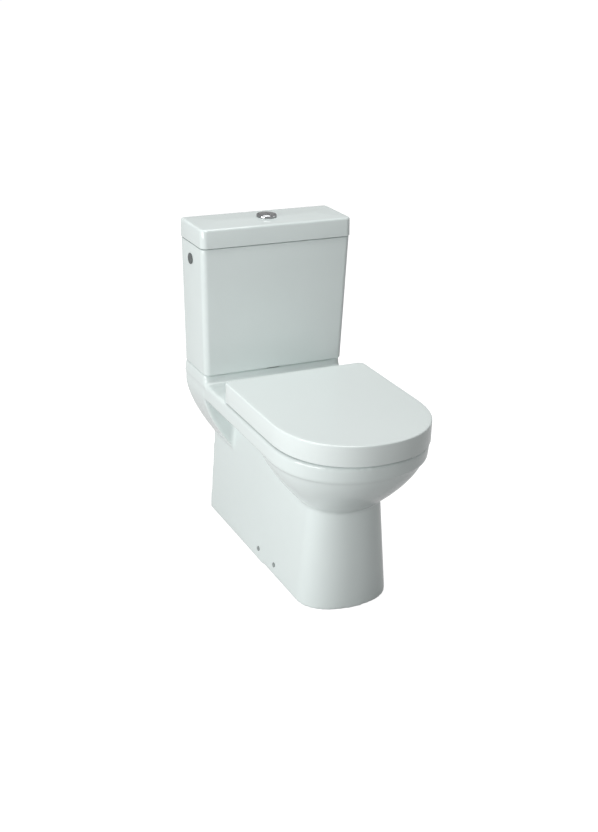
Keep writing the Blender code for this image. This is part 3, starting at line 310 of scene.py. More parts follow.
class Paint:
    # a new material by name, or a node tree that is there already
    def __init__(self, name=None, tree=None):
        self.tree = tree
        if not tree:
            self.material = bpy.data.materials.new(name)
            self.material.use_nodes = True
            self.tree = self.material.node_tree
            self.shader = self.tree.nodes["Principled BSDF"]

    def node(self, kind, settings={}, inputs={}, out=0):
        made = self.tree.nodes.new(kind)
        for key, value in settings.items():
            setattr(made, key, value)
        for key, value in inputs.items():
            self.feed(made.inputs[key], value)
        return Flow(self, made.outputs[out])

    def feed(self, socket, value):
        if isinstance(value, Flow):
            self.tree.links.new(value.socket, socket)
        else:
            socket.default_value = value

    def set(self, **values):
        for key, value in values.items():
            self.feed(self.shader.inputs[key.replace("_", " ")], value)

    def place(self, scale=(1, 1, 1)):
        spots = self.node("ShaderNodeTexCoord", out="Object")
        return self.node("ShaderNodeMapping", {}, {"Vector": spots, "Scale": scale})

    def noise(self, size, detail, roughness=0.5, stretch=(1, 1, 1)):
        return self.node("ShaderNodeTexNoise", {}, {"Vector": self.place(stretch), "Scale": 1 / size,
                                                    "Detail": detail, "Roughness": roughness})

    def blend(self, share, low, high):
        # the Mix node's colour sockets are told apart by number: 6 and 7 go in, 2 comes out
        inputs = {0: share, 6: (*low, 1), 7: (*high, 1)}
        return self.node("ShaderNodeMix", {"data_type": "RGBA"}, inputs, out=2)

    def bump(self, height, depth, under=None):
        inputs = {"Height": height, "Distance": depth, "Strength": 1.0}
        if under:
            inputs["Normal"] = under
        return self.node("ShaderNodeBump", {}, inputs)

    def rays(self, *kinds):
        path = self.tree.nodes.new("ShaderNodeLightPath")
        return [Flow(self, path.outputs[f"Is {kind} Ray"]) for kind in kinds]


# Finishes

glazeLook = dict(light=(0.745, 0.812, 0.800), shade=(0.715, 0.782, 0.770), rough=0.06, cloudRough=0.05,
                 grainRough=0.02, cloud=0.16, cloudDetail=2, ripple=0.055, rippleDepth=0.00016,
                 grain=0.004, grainDepth=0.000006)
seatLook = dict(light=(0.765, 0.828, 0.815), shade=(0.745, 0.808, 0.795), rough=0.12, cloudRough=0.0,
                grainRough=0.04, cloud=0.22, cloudDetail=1, ripple=0.09, rippleDepth=0.00008,
                grain=0.0012, grainDepth=0.000004)


def makeGloss(name, look):
    paint = Paint(name)
    clouds = paint.noise(look["cloud"], look["cloudDetail"])
    ripples = paint.noise(look["ripple"], detail=1)
    grain = paint.noise(look["grain"], detail=2)
    wavy = paint.bump(ripples, look["rippleDepth"])
    paint.set(Base_Color=paint.blend(clouds, look["shade"], look["light"]),
              Roughness=look["rough"] + look["cloudRough"] * clouds + look["grainRough"] * grain,
              IOR=1.5,
              Normal=paint.bump(grain, look["grainDepth"], wavy))
    return paint.material


plasticGrain = dict(cloud=0.03, pore=0.0009, poreRough=0.14, poreDepth=0.00003)
plasticLooks = {
    "whitePlastic": dict(light=(0.74, 0.75, 0.74), shade=(0.66, 0.67, 0.66), rough=0.38),
    "bluePlastic": dict(light=(0.10, 0.24, 0.46), shade=(0.07, 0.17, 0.36), rough=0.36),
    "darkPlastic": dict(light=(0.13, 0.145, 0.145), shade=(0.09, 0.10, 0.10), rough=0.34),
    "capPlastic": dict(light=(0.30, 0.33, 0.325), shade=(0.25, 0.28, 0.275), rough=0.32),
}


def makePlastic(name, look, grain):
    paint = Paint(name)
    clouds = paint.noise(grain["cloud"], detail=3)
    pores = paint.noise(grain["pore"], detail=4, roughness=0.6)
    paint.set(Base_Color=paint.blend(clouds, look["shade"], look["light"]),
              Roughness=look["rough"] + grain["poreRough"] * pores,
              Normal=paint.bump(pores, grain["poreDepth"]))
    return paint.material


rubberLook = dict(light=(0.055, 0.055, 0.057), shade=(0.028, 0.028, 0.030), rough=0.62,
                  dust=0.012, pore=0.0007, poreRough=0.25, poreDepth=0.00006)


def makeRubber(look):
    paint = Paint("rubberBlack")
    dust = paint.noise(look["dust"], detail=4, roughness=0.6)
    pores = paint.noise(look["pore"], detail=3, roughness=0.7)
    paint.set(Base_Color=paint.blend(dust, look["shade"], look["light"]),
              Roughness=look["rough"] + look["poreRough"] * pores,
              Normal=paint.bump(pores, look["poreDepth"]))
    return paint.material


chromeLook = dict(light=(0.54, 0.55, 0.555), shade=(0.46, 0.47, 0.48), rough=0.06,
                  haze=0.018, wipe=0.003, wipeRough=0.05, hazeDepth=0.00004)


def makeChrome(look):
    paint = Paint("chromePlate")
    haze = paint.noise(look["haze"], detail=3)
    wipe = paint.noise(look["wipe"], detail=4, roughness=0.6)
    paint.set(Base_Color=paint.blend(haze, look["shade"], look["light"]), Metallic=1.0,
              Roughness=look["rough"] + look["wipeRough"] * haze * wipe,
              Normal=paint.bump(haze, look["hazeDepth"]))
    return paint.material


metalGrain = dict(tarnish=0.02, tarnishRough=0.08, streak=0.0010, streakRough=0.16, streakDepth=0.00003,
                  stretch=(1, 1, 0.08))
metalLooks = {
    "stainlessSteel": dict(light=(0.62, 0.62, 0.61), shade=(0.46, 0.46, 0.455), rough=0.26),
    "plainBrass": dict(light=(0.70, 0.54, 0.26), shade=(0.50, 0.36, 0.15), rough=0.24),
}


def makeMetal(name, look, grain):
    paint = Paint(name)
    tarnish = paint.noise(grain["tarnish"], detail=4, roughness=0.6)
    streaks = paint.noise(grain["streak"], detail=3, roughness=0.6, stretch=grain["stretch"])
    paint.set(Base_Color=paint.blend(tarnish, look["shade"], look["light"]), Metallic=1.0,
              Roughness=look["rough"] + grain["streakRough"] * streaks + grain["tarnishRough"] * tarnish,
              Normal=paint.bump(streaks, grain["streakDepth"]))
    return paint.material


glaze = makeGloss("glazedCeramic", glazeLook)
seatPlastic = makeGloss("seatPlastic", seatLook)
plastics = {name: makePlastic(name, look, plasticGrain) for name, look in plasticLooks.items()}
rubber = makeRubber(rubberLook)
chrome = makeChrome(chromeLook)
metals = {name: makeMetal(name, look, metalGrain) for name, look in metalLooks.items()}
print("finishes made")


# Pan: outer forms joined, hollowed and softened as one casting

panForm = dict(
    half=0.180, rim=0.396, length=0.686, straight=0.504,
    band=0.041, bandLean=0.0085, bandRound=0.004, bandBack=0.100,
    footFront=0.111, footBack=0.1145, footNose=0.588, footStraight=0.505, footTop=0.360,
    frontDraft=0.0318, backDraft=0.0173, noseDraft=0.033,
    shoulder=0.120, flareFrom=0.216, flarePower=1.5, slab=0.370,
    bellyTop=0.367, bellyFoot=0.226, bellyInset=0.0015, bellyHalf=0.080, bellyTopBack=0.270,
    bellyBack=0.390, bellyFront=0.560, bellyMiddle=0.492, bellyMiddleShare=0.6, bellyPower=1.5,
    plinthCorner=0.014, plinthBackCorner=0.006,
    ledgeInner=0.1665, ledgeOuter=0.1808, ledgeFront=0.127, ledgeLow=0.4050, ledgeHigh=0.4203,
    wall=0.012, trapWall=0.011, ductWall=0.009, past=0.010, room=1.0,
    spigotFront=0.130, spigotBack=0.012, spigotHeight=0.180, spigotRadius=0.051,
    recess=(0.399, 0.430), recessRadius=0.0535,
    grain=0.0033, soften=7, triangles=190000,
)
# height, half width and front of the low platform that carries the cistern
plinthRows = [(0.3840, 0.1789, 0.1500), (0.3906, 0.1816, 0.1500), (0.3965, 0.1816, 0.1440),
              (0.3990, 0.1815, 0.1385), (0.4031, 0.1814, 0.1335), (0.4091, 0.1813, 0.1312),
              (0.4160, 0.1812, 0.1300), (0.4180, 0.1806, 0.1290)]
# height, half width, back and front of the bowl, from the mouth down to the sump
bowlRows = [(0.4080, 0.1220, 0.2900, 0.6400), (0.3720, 0.1220, 0.2900, 0.6400),
            (0.3672, 0.1335, 0.2812, 0.6520), (0.3500, 0.1310, 0.2815, 0.6510),
            (0.3250, 0.1150, 0.2900, 0.6415), (0.2960, 0.0930, 0.3050, 0.6220),
            (0.2656, 0.0770, 0.3200, 0.5942), (0.2361, 0.0680, 0.3340, 0.5578),
            (0.2017, 0.0561, 0.3549, 0.5262), (0.1697, 0.0427, 0.3868, 0.5010),
            (0.1500, 0.0360, 0.4080, 0.4820)]
# distance from the wall, height and radius along the trap, its outlet, and the water way
trapRows = [(0.4450, 0.1699, 0.0352), (0.4261, 0.1245, 0.0333), (0.3978, 0.0931, 0.0310),
            (0.3600, 0.0820, 0.0300), (0.3222, 0.0972, 0.0300), (0.2970, 0.1346, 0.0300),
            (0.2765, 0.1780, 0.0307), (0.2481, 0.2073, 0.0320), (0.2151, 0.2073, 0.0339),
            (0.1820, 0.1921, 0.0378), (0.1489, 0.1820, 0.0417), (0.1300, 0.1800, 0.0430)]
outletRows = [(0.0600, 0.1800, 0.0430), (-0.0100, 0.1800, 0.0430)]
ductMouth = (cisternAxis, 0.4300, 0.0340)
ductRows = [(0.0710, 0.4113, 0.0340), (0.0710, 0.3830, 0.0340), (0.0754, 0.3547, 0.0312),
            (0.0973, 0.3367, 0.0270), (0.1433, 0.3315, 0.0239), (0.2024, 0.3336, 0.0217),
            (0.3031, 0.3397, 0.0200)]


def footHalf(f, z):
    share = z / f["footTop"]
    return f["footFront"] - f["frontDraft"] * share, f["footBack"] - f["backDraft"] * share


def footRings(f, levels, inset):
    rings = []
    for z in levels:
        front, back = footHalf(f, z)
        nose = f["footNose"] - f["noseDraft"] * z / f["footTop"]
        rings.append(dOutline(z, front - inset, back - inset, -f["past"], f["footStraight"], nose - inset))
    return rings


def flareHalf(f, z):
    start = footHalf(f, f["flareFrom"])[1]
    share = min(max((z - f["flareFrom"]) / (f["slab"] - f["flareFrom"]), 0), 1)
    return mix(start, f["half"], 1 - (1 - share) ** f["flarePower"])


def shoulderMesh(f, inset, foot, top, reach, steps=24):
    start = footHalf(f, f["flareFrom"])[1]
    right = [(start - inset - foot, f["flareFrom"] - 2 * foot)]
    for k in range(steps):
        z = mix(f["flareFrom"], f["slab"], k / steps)
        right.append((flareHalf(f, z) - inset, z))
    right += [(f["half"] - inset, z) for z in ([f["slab"], top] if top > f["slab"] else [top])]
    outline = right + [(-x, z) for x, z in reversed(right)]
    return skin([[spot(x, far, z) for x, z in outline] for far in (-1.5 * f["past"], reach)])


def bandMesh(f):
    bottom = f["rim"] - f["band"]
    levels = [(inset, bottom + drop) for inset, drop in reversed(roundOver(f["bandRound"], 5))]
    levels += [(inset, f["rim"] - drop) for inset, drop in roundOver(f["bandRound"], 5)]
    rings = []
    for inset, z in levels:
        lean = f["bandLean"] * (f["rim"] - z) / f["band"]
        back = min(flareHalf(f, z), f["half"]) - inset - clear
        rings.append(dOutline(z, f["half"] - inset, back, f["bandBack"], f["straight"],
                              f["length"] - inset - lean))
    return skin(rings)


def bellyMesh(f, steps=30):
    rings = []
    for k in range(steps + 1):
        share = k / steps
        narrow = share ** f["bellyPower"]
        back = mix(f["bellyTopBack"], f["bellyBack"], share)
        front = mix(f["length"] - f["bandLean"], f["bellyFront"], narrow)
        rings.append(ovalOutline(mix(f["bellyTop"], f["bellyFoot"], share),
                                 mix(f["half"] - f["bellyInset"], f["bellyHalf"], narrow), back,
                                 min(f["bellyMiddle"], mix(back, front, f["bellyMiddleShare"])), front))
    return skin(rings)


def plinthMesh(f, steps=21):
    rows = [along(plinthRows, k / steps) for k in range(steps + 1)]
    return skin([boxOutline(z, half, -f["past"], front, f["plinthCorner"], f["plinthBackCorner"])
                 for z, half, front in rows])


def ledgeMesh(f, side):
    return block(spot(side * f["ledgeInner"], f["ledgeFront"], f["ledgeLow"]),
                 spot(side * f["ledgeOuter"], -f["past"], f["ledgeHigh"]))


def bowlMesh(extra=0.0, top=None, floor=0.0, steps=40):
    rings = []
    for k in range(steps + 1):
        z, half, back, front = along(bowlRows, k / steps)
        z = top if top and k == 0 else z - (floor if k == steps else 0)
        back, front = back - extra, front + extra
        rings.append(ovalOutline(z, half + extra, back, mix(back, front, 0.5), front))
    return skin(rings)


def panOutside(f, levels):
    pan = pieceFrom(skin(footRings(f, [-f["past"]] + levels, 0)), "panGlazed")
    shoulder = shoulderMesh(f, 0, f["wall"] / 3, f["rim"] - f["bandRound"], f["shoulder"])
    cut(pan, [pieceFrom(shoulder, "shoulderForm"), pieceFrom(bandMesh(f), "bandForm"),
              pieceFrom(bellyMesh(f), "bellyForm"), pieceFrom(plinthMesh(f), "plinthForm")]
        + [pieceFrom(ledgeMesh(f, side), "sideLedge") for side in (-1, 1)], "UNION")
    room = block(spot(-f["room"], f["room"], 0), spot(f["room"], 0, f["room"]))
    return cut(pan, [pieceFrom(room, "roomForm")], "INTERSECT")


def panHollow(f, levels):
    hollow = pieceFrom(skin(footRings(f, levels, f["wall"])), "hollowForm")
    shoulder = shoulderMesh(f, f["wall"], f["wall"], f["slab"] - clear, f["shoulder"] - f["wall"])
    cut(hollow, [pieceFrom(shoulder, "shoulderHollow")], "UNION")
    spigot = rod(spot(0, f["spigotFront"], f["spigotHeight"]), spot(0, f["spigotBack"], f["spigotHeight"]),
                 f["spigotRadius"], 64)
    return cut(hollow, [pieceFrom(bowlMesh(f["wall"], f["rim"], f["wall"]), "bowlBody"),
                        pieceFrom(tube(trapRows, f["trapWall"]), "trapBody"),
                        pieceFrom(spigot, "spigotBody"),
                        pieceFrom(tube(ductRows, f["ductWall"]), "ductBody")])


def soften(piece, f):
    step = piece.modifiers.new("casting", "REMESH")
    step.mode, step.voxel_size = "VOXEL", f["grain"] * 1
    settle(piece)
    mesh = bmesh.new()
    mesh.from_mesh(piece.data)
    for _ in range(f["soften"]):
        bmesh.ops.smooth_vert(mesh, verts=mesh.verts, factor=0.5,
                              use_axis_x=True, use_axis_y=True, use_axis_z=True)
    mesh.to_mesh(piece.data)
    mesh.free()
    faces = len(piece.data.polygons) * 2
    if faces > f["triangles"]:
        step = piece.modifiers.new("fewer", "DECIMATE")
        step.ratio = f["triangles"] / faces
        settle(piece)
    print("pan softened:", faces, "triangles before,", len(piece.data.polygons), "faces after")


def makePan(f, steps=12):
    levels = [f["footTop"] * k / steps for k in range(steps + 1)]
    pan = panOutside(f, levels)
    print("pan outside joined:", len(pan.data.polygons), "faces")
    hollow = panHollow(f, [-2 * f["past"]] + levels[:-1] + [f["slab"]])
    cut(pan, [hollow, pieceFrom(bowlMesh(), "bowlSpace"),
              pieceFrom(tube(trapRows + outletRows), "trapSpace"),
              pieceFrom(tube([ductMouth] + ductRows), "ductSpace"),
              pieceFrom(upright(0, f["recess"], f["recessRadius"], 96), "recessSpace")])
    print("pan hollowed:", len(pan.data.polygons), "faces")
    soften(pan, f)
    crisp(pan, 60)
    return dress(pan, "root", ["pan"], glaze)


# Cistern: one block drawn in, hollowed and rounded

tankForm = dict(bottom=0.4205, top=0.7286, halfBottom=0.1811, halfTop=0.1906, back=0.003,
                frontBottom=0.1375, frontTop=0.1395, wall=0.010, floor=0.012,
                corner=0.014, leastCorner=0.004, backCorner=0.009, leastBackCorner=0.002,
                edge=0.0035, lip=0.0016,
                sideHoles=((-1, 0.066, 0.6916), (1, 0.042, 0.689)), sideInner=0.172, sideOuter=0.205,
                holeRadius=0.0115, below=(0.40, 0.45), outletRadius=0.0325,
                boltSpread=0.085, boltRadius=0.0055)


def makeTank(f):
    def outline(z, inset):
        share = (z - f["bottom"]) / (f["top"] - f["bottom"])
        return boxOutline(z, mix(f["halfBottom"], f["halfTop"], share) - inset, f["back"] + inset,
                          mix(f["frontBottom"], f["frontTop"], share) - inset,
                          max(f["corner"] - inset, f["leastCorner"]),
                          max(f["backCorner"] - inset, f["leastBackCorner"]), 10)

    wall, low = f["wall"], f["bottom"] + f["floor"]
    rings = [outline(f["bottom"] + drop, inset) for inset, drop in reversed(roundOver(f["edge"], 6))]
    rings += [outline(mix(f["bottom"], f["top"], k / 6), 0) for k in range(1, 6)]
    rings += [outline(f["top"] - drop, inset) for inset, drop in roundOver(f["lip"], 4)]
    rings += [outline(f["top"] - drop, wall - inset) for inset, drop in reversed(roundOver(f["lip"], 4))]
    rings += [outline(low + drop, wall + inset) for inset, drop in roundOver(f["edge"], 5)]
    tank = pieceFrom(skin(rings), "cisternGlazed")
    tools = []
    for side, fromWall, z in f["sideHoles"]:
        hole = rod(spot(side * f["sideInner"], fromWall, z), spot(side * f["sideOuter"], fromWall, z),
                   f["holeRadius"])
        tools.append(pieceFrom(hole, "sideHole"))
    tools.append(pieceFrom(upright(0, f["below"], f["outletRadius"], 64), "outletHole"))
    tools += [pieceFrom(upright(side * f["boltSpread"], f["below"], f["boltRadius"]), "boltHole")
              for side in (-1, 1)]
    crisp(cut(tank, tools), 50)
    print("cistern made")
    return dress(tank, "root", ["cistern_tank"], glaze)


lidForm = dict(bottom=0.7309, top=0.7748, half=0.1917, back=0.001, front=0.1425, corner=0.015,
               leastCorner=0.003, backCorner=0.010, leastBackCorner=0.0015, edge=0.0055, foot=0.0014,
               frontLean=0.0028, crown=0.0038, crownShare=0.9, roof=0.7648, roofRound=0.004,
               lipBottom=0.7215, lipOut=0.0115, lipIn=0.0175, lipRound=0.001, innerCorner=0.004,
               hole=(0.75, 0.79), holeRadius=0.0220)


def makeLid(f):
    tank = tankForm

    def outer(z, inset):
        lean = f["frontLean"] * (z - f["bottom"]) / (f["top"] - f["bottom"])
        return boxOutline(z, f["half"] - inset, f["back"] + inset, f["front"] - inset - lean,
                          max(f["corner"] - inset, f["leastCorner"]),
                          max(f["backCorner"] - inset, f["leastBackCorner"]), 12)

    def inner(z, inset):
        return boxOutline(z, tank["halfTop"] - inset, tank["back"] + inset, tank["frontTop"] - inset,
                          f["innerCorner"], f["innerCorner"], 12)

    rings = [inner(f["roof"], f["lipIn"] + f["roofRound"]), inner(f["roof"] - f["roofRound"], f["lipIn"]),
             inner(f["lipBottom"], f["lipIn"]), inner(f["lipBottom"], f["lipOut"] + f["lipRound"]),
             inner(f["lipBottom"] + f["lipRound"], f["lipOut"]), inner(f["bottom"], f["lipOut"])]
    rings += [outer(f["bottom"] + drop, inset) for inset, drop in reversed(roundOver(f["foot"], 4))]
    rings += [crowned(f, outer(f["top"] - drop, inset)) for inset, drop in roundOver(f["edge"], 7)]
    reach = (f["front"] - f["back"]) / 2
    rings += [crowned(f, outer(f["top"], mix(f["edge"], reach * f["crownShare"], k / 10)))
              for k in range(1, 11)]
    lid = pieceFrom(skin(rings), "lidGlazed")
    crisp(cut(lid, [pieceFrom(upright(0, f["hole"], f["holeRadius"], 64), "buttonHole")]), 50)
    print("lid made")
    return dress(lid, "lid", ["cistern_lid"], glaze)


# Flush button: spun bezel, and a spun cap split into two halves

buttonForm = dict(bezelTop=0.7836, bezelLow=0.7786, bezelRadius=0.0243, bezelFoot=0.0003,
                  crestAcross=0.0033, crestDrop=0.0047, lipRound=0.0009,
                  sleeve=0.0215, sleeveWall=0.001, sleeveLow=0.7536, bridge=0.003,
                  rods=0.010, rodHole=(0.74, 0.77), rodHoleRadius=0.0027,
                  capRadius=0.0200, capTop=0.7856, capLow=0.7736, capRound=0.0011, dome=0.0016,
                  split=0.0012, splitRound=0.0003, splitDeep=0.004)


def makeBezel(f):
    inner = f["sleeve"] - f["sleeveWall"]
    top, low, outer, foot = f["bezelTop"], f["bezelLow"], f["bezelRadius"], f["bezelFoot"]
    crest = [(outer - f["crestAcross"] * (1 - cos(t)), top - f["crestDrop"] * (1 - sin(t)))
             for t in quarter(10)]
    fall = [(inner + f["lipRound"] * (1 - sin(t)), top - f["lipRound"] * (1 - cos(t))) for t in quarter(5)]
    floor = f["sleeveLow"] + f["bridge"]
    bezel = turned([(0, f["sleeveLow"]), (f["sleeve"], f["sleeveLow"]), (f["sleeve"], low),
                    (outer - foot, low), (outer, low + foot)] + crest + fall + [(inner, floor), (0, floor)])
    bmesh.ops.translate(bezel, vec=spot(0, cisternAxis, 0), verts=bezel.verts)
    bezel = pieceFrom(bezel, "bezelChrome")
    holes = [pieceFrom(upright(side * f["rods"], f["rodHole"], f["rodHoleRadius"], 24), "rodHole")
             for side in (-1, 1)]
    crisp(cut(bezel, holes))
    dress(bezel, "lid", ["button_bezel"], chrome)


def makeHalf(f, side, body, name):
    radius, top = f["capRadius"], f["capTop"]
    edge = [(radius - f["capRound"] * (1 - cos(t)), top - f["dome"] - f["capRound"] * (1 - sin(t)))
            for t in quarter(5)]
    reach = radius - f["capRound"]
    crown = [(reach * (1 - k / 8), top - f["dome"] * (1 - k / 8) ** 2) for k in range(1, 9)]
    cap = turned([(0, f["capLow"]), (radius, f["capLow"])] + edge + crown)
    half = bmesh.ops.bisect_plane(cap, geom=cap.verts[:] + cap.edges[:] + cap.faces[:], dist=weld,
                                  plane_co=(side * f["split"] / 2, 0, 0), plane_no=(-side, 0, 0),
                                  clear_outer=True)
    rim = [g for g in half["geom_cut"] if isinstance(g, bmesh.types.BMEdge)]
    bmesh.ops.holes_fill(cap, edges=rim)
    outward(cap)
    upper = [e for e in rim if e.is_valid and max(v.co.z for v in e.verts) > top - f["splitDeep"]]
    rounded(cap, upper, f["splitRound"], 2)
    bmesh.ops.translate(cap, vec=spot(0, cisternAxis, 0), verts=cap.verts)
    dress(pieceFrom(cap, name + "_chrome"), body, [name], chrome)


def makeButtons(f):
    makeBezel(f)
    makeHalf(f, 1, "full_button", "full_flush_button")
    makeHalf(f, -1, "half_button", "half_flush_button")
    print("flush button made")


springForm = dict(low=0.7575, high=0.7727, radius=0.0042, wire=0.0006, turns=4, stepsPerTurn=24, sides=10,
                  travel=0.006)


def makeSprings(f):
    steps, sides = f["turns"] * f["stepsPerTurn"], f["sides"]
    for side, node, joint in ((1, "full_flush_spring", "full_button_press"),
                              (-1, "half_flush_spring", "half_button_press")):
        foot = spot(side * buttonForm["rods"], cisternAxis, 0)
        rings = []
        for k in range(steps + 1):
            turn = tau * k / f["stepsPerTurn"]
            away = Vector((cos(turn), sin(turn), 0))
            middle = foot + away * f["radius"] + Vector((0, 0, mix(f["low"], f["high"], k / steps)))
            rings.append([middle + f["wire"] * (cos(tau * j / sides) * away
                                                + Vector((0, 0, sin(tau * j / sides))))
                          for j in range(sides)])
        spring = pieceFrom(skin(rings), node + "_wire", 60)
        dress(spring, "lid", [node], metals["stainlessSteel"])
        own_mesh(spring)
    print("springs made")


# Seat: cover shell and ring, both with lugs on the hinge pins

hinge = dict(fromWall=0.232, height=0.424, lug=0.009, bore=0.0043, boreHalf=0.12,
             seatLug=(0.0580, 0.0100), coverLug=(0.0870, 0.0100))


def lugMeshes(near, width, reach):
    # a round-ended lug about the hinge line, as a slab and a rod between two planes of equal x
    left, right = sorted((near, near + copysign(width, near)))
    pinY, pinZ = wallY - hinge["fromWall"], hinge["height"]
    slab = block(Vector((left, wallY - reach, pinZ - hinge["lug"])),
                 Vector((right, pinY, pinZ + hinge["lug"])))
    return slab, rod(Vector((left, pinY, pinZ)), Vector((right, pinY, pinZ)), hinge["lug"], 48)


def addLugs(piece, lug, reach):
    for side in (-1, 1):
        slab, end = lugMeshes(side * lug[0], lug[1], reach)
        cut(piece, [pieceFrom(slab, "lugSlab"), pieceFrom(end, "lugEnd")], "UNION")
    bore = rod(spot(-hinge["boreHalf"], hinge["fromWall"], hinge["height"]),
               spot(hinge["boreHalf"], hinge["fromWall"], hinge["height"]), hinge["bore"], 32)
    return cut(piece, [pieceFrom(bore, "hingeBore")])


coverForm = dict(half=0.180, back=0.2455, straight=0.504, front=0.693, corner=0.016, leastCorner=0.003,
                 bottom=0.401, top=0.448, plate=0.006, wall=0.0045, edge=0.0032, hem=0.0010,
                 crown=0.003, crownShare=0.93, crownPower=1.2, power=2.2,
                 gapInner=0.0565, gapOuter=0.0680, gapTop=0.4345, past=0.01)


def makeCover(f):
    def outline(z, inset):
        return dOutline(z, f["half"] - inset, f["half"] - inset, f["back"] + inset, f["straight"],
                        f["front"] - inset, max(f["corner"] - inset, f["leastCorner"]), f["power"])

    under = f["top"] - f["plate"]
    rings = [outline(under - drop, f["wall"] + inset) for inset, drop in reversed(roundOver(f["edge"], 4))]
    rings += [outline(f["bottom"] + drop, f["wall"] - inset) for inset, drop in roundOver(f["hem"], 3)]
    rings += [outline(f["bottom"] + drop, inset) for inset, drop in reversed(roundOver(f["hem"], 4))]
    rings += [crowned(f, outline(f["top"] - drop, inset)) for inset, drop in roundOver(f["edge"], 7)]
    for k in range(1, 13):
        inset = mix(f["edge"], f["half"] * f["crownShare"], (k / 12) ** f["crownPower"])
        rings.append(crowned(f, outline(f["top"], inset)))
    cover = pieceFrom(skin(rings), "coverGloss")
    gaps = []
    for side in (-1, 1):
        low, high = sorted((side * f["gapInner"], side * f["gapOuter"]))
        gap = block(spot(low, f["back"] + f["wall"] + clear, f["bottom"] - f["past"]),
                    spot(high, f["back"] - f["past"], f["gapTop"]))
        gaps.append(pieceFrom(gap, "lugGap"))
    cut(cover, gaps)
    crisp(addLugs(cover, hinge["coverLug"], f["back"] + f["wall"] / 2), 50)
    print("cover made")
    return dress(cover, "cover", ["seat_cover"], seatPlastic)


ringForm = dict(half=0.1725, back=0.266, straight=0.504, front=0.6855, corner=0.016, bottom=0.400,
                thick=0.024, holeHalf=0.108, holeBack=0.310, holeFront=0.628, holeCorner=0.060)
# share of the way from the ring's outer edge to its opening, and share of its thickness
ringShares = [(0.005, 0.0), (0.0, 0.10), (0.0, 0.55), (0.012, 0.86), (0.075, 0.98), (0.22, 1.0),
              (0.48, 0.985), (0.72, 0.91), (0.88, 0.79), (0.965, 0.62), (1.0, 0.40), (0.99, 0.14),
              (0.955, 0.0)]


def makeRing(f, steps=36):
    outer = dOutline(0, f["half"], f["half"], f["back"], f["straight"], f["front"], f["corner"])
    hole = dOutline(0, f["holeHalf"], f["holeHalf"], f["holeBack"], f["straight"], f["holeFront"],
                    f["holeCorner"])
    rings = []
    for k in range(steps + 1):
        across, height = along(ringShares, k / steps)
        level = Vector((0, 0, f["bottom"] + f["thick"] * max(height, 0)))
        rings.append([a.lerp(b, max(across, 0)) + level for a, b in zip(outer, hole)])
    ring = pieceFrom(skin(rings, closed=True), "ringGloss")
    crisp(addLugs(ring, hinge["seatLug"], f["back"] + f["corner"]), 50)
    print("ring made")
    return dress(ring, "seat", ["seat_ring"], seatPlastic)


# Small fittings on the outside

plugForm = dict(fromWall=0.066, height=0.6916, stem=0.011, deep=0.0320, head=0.0132, thick=0.0018,
                skirt=0.0004, side=0.0008, round=0.0010, face=0.0019, faceShare=0.62,
                dish=0.0015, dishShare=0.55, middle=0.0014)


def turnedSideways(mesh, place, side):
    bmesh.ops.rotate(mesh, cent=(0, 0, 0), matrix=Matrix.Rotation(side * pi / 2, 3, "Y"), verts=mesh.verts)
    bmesh.ops.translate(mesh, vec=place, verts=mesh.verts)
    return mesh


def makePlug(f):
    head, end = f["head"], f["thick"] - f["deep"]
    rise = [(head - f["round"] * (1 - cos(t)), f["side"] + f["round"] * sin(t)) for t in quarter(6)]
    profile = [(0, end), (f["stem"], end), (f["stem"], 0), (head - f["skirt"], 0), (head, f["skirt"])] + rise
    profile += [(head * f["faceShare"], f["face"]), (head * f["dishShare"], f["dish"]), (0, f["middle"])]
    place = Vector((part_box("side_hole_plug")[0].x + f["face"], wallY - f["fromWall"], f["height"]))
    plug = turnedSideways(turned(profile, 64), place, -1)
    dress(pieceFrom(plug, "plugDark"), "root", ["side_hole_plug"], plastics["darkPlastic"])


capForm = dict(radius=0.0058, round=0.0012, wall=0.001, faceInset=0.0014, faceDrop=0.0001, pin=0.00001)


def makeCaps(f):
    radius, wall = f["radius"], f["wall"]
    for number in range(1, 5):
        node = f"side_screw_cap_{number}"
        low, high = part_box(node)
        side = 1 if low.x > 0 else -1
        deep = high.x - low.x
        dome = [(radius - f["round"] * (1 - cos(t)), deep - f["round"] * (1 - sin(t))) for t in quarter(5)]
        cap = turned([(radius - wall, 0), (radius, 0)] + dome[:-1]
                     + [(radius - f["faceInset"], deep - f["faceDrop"]), (radius * 0.5, deep),
                        (f["pin"], deep), (f["pin"], deep - wall), (radius - wall, deep - wall)], 48)
        place = Vector((low.x if side > 0 else high.x, (low.y + high.y) / 2, (low.z + high.z) / 2))
        dress(pieceFrom(turnedSideways(cap, place, side), node + "_grey"), "root", [node],
              plastics["capPlastic"])


makePan(panForm)
makeTank(tankForm)
makeLid(lidForm)
makeButtons(buttonForm)
makeSprings(springForm)
makeCover(coverForm)
makeRing(ringForm)
makePlug(plugForm)
makeCaps(capForm)
print("fittings made")


# Every node that stays gets its finish

finishOf = {"ceramic": glaze, "seat_plastic": seatPlastic, "white_plastic": plastics["whitePlastic"],
            "blue_plastic": plastics["bluePlastic"], "dark_plastic": plastics["darkPlastic"],
            "rubber": rubber, "chrome": chrome, "steel": metals["stainlessSteel"],
            "brass": metals["plainBrass"]}
for entry in frame["record"]["subparts"]:
    node = frame["nodes"][entry["node"]]
    if not node.hide_render:
        for slot in node.material_slots:
            slot.material = finishOf[entry["material_slot"]]
print("kept nodes finished")


# Floor, light and camera

stageLook = dict(floorSize=40, floorLow=-0.0005, floorColor=(0.35, 0.35, 0.35), floorRough=0.9,
                 lift=0.93, mirrored=0.4, world=0.30)


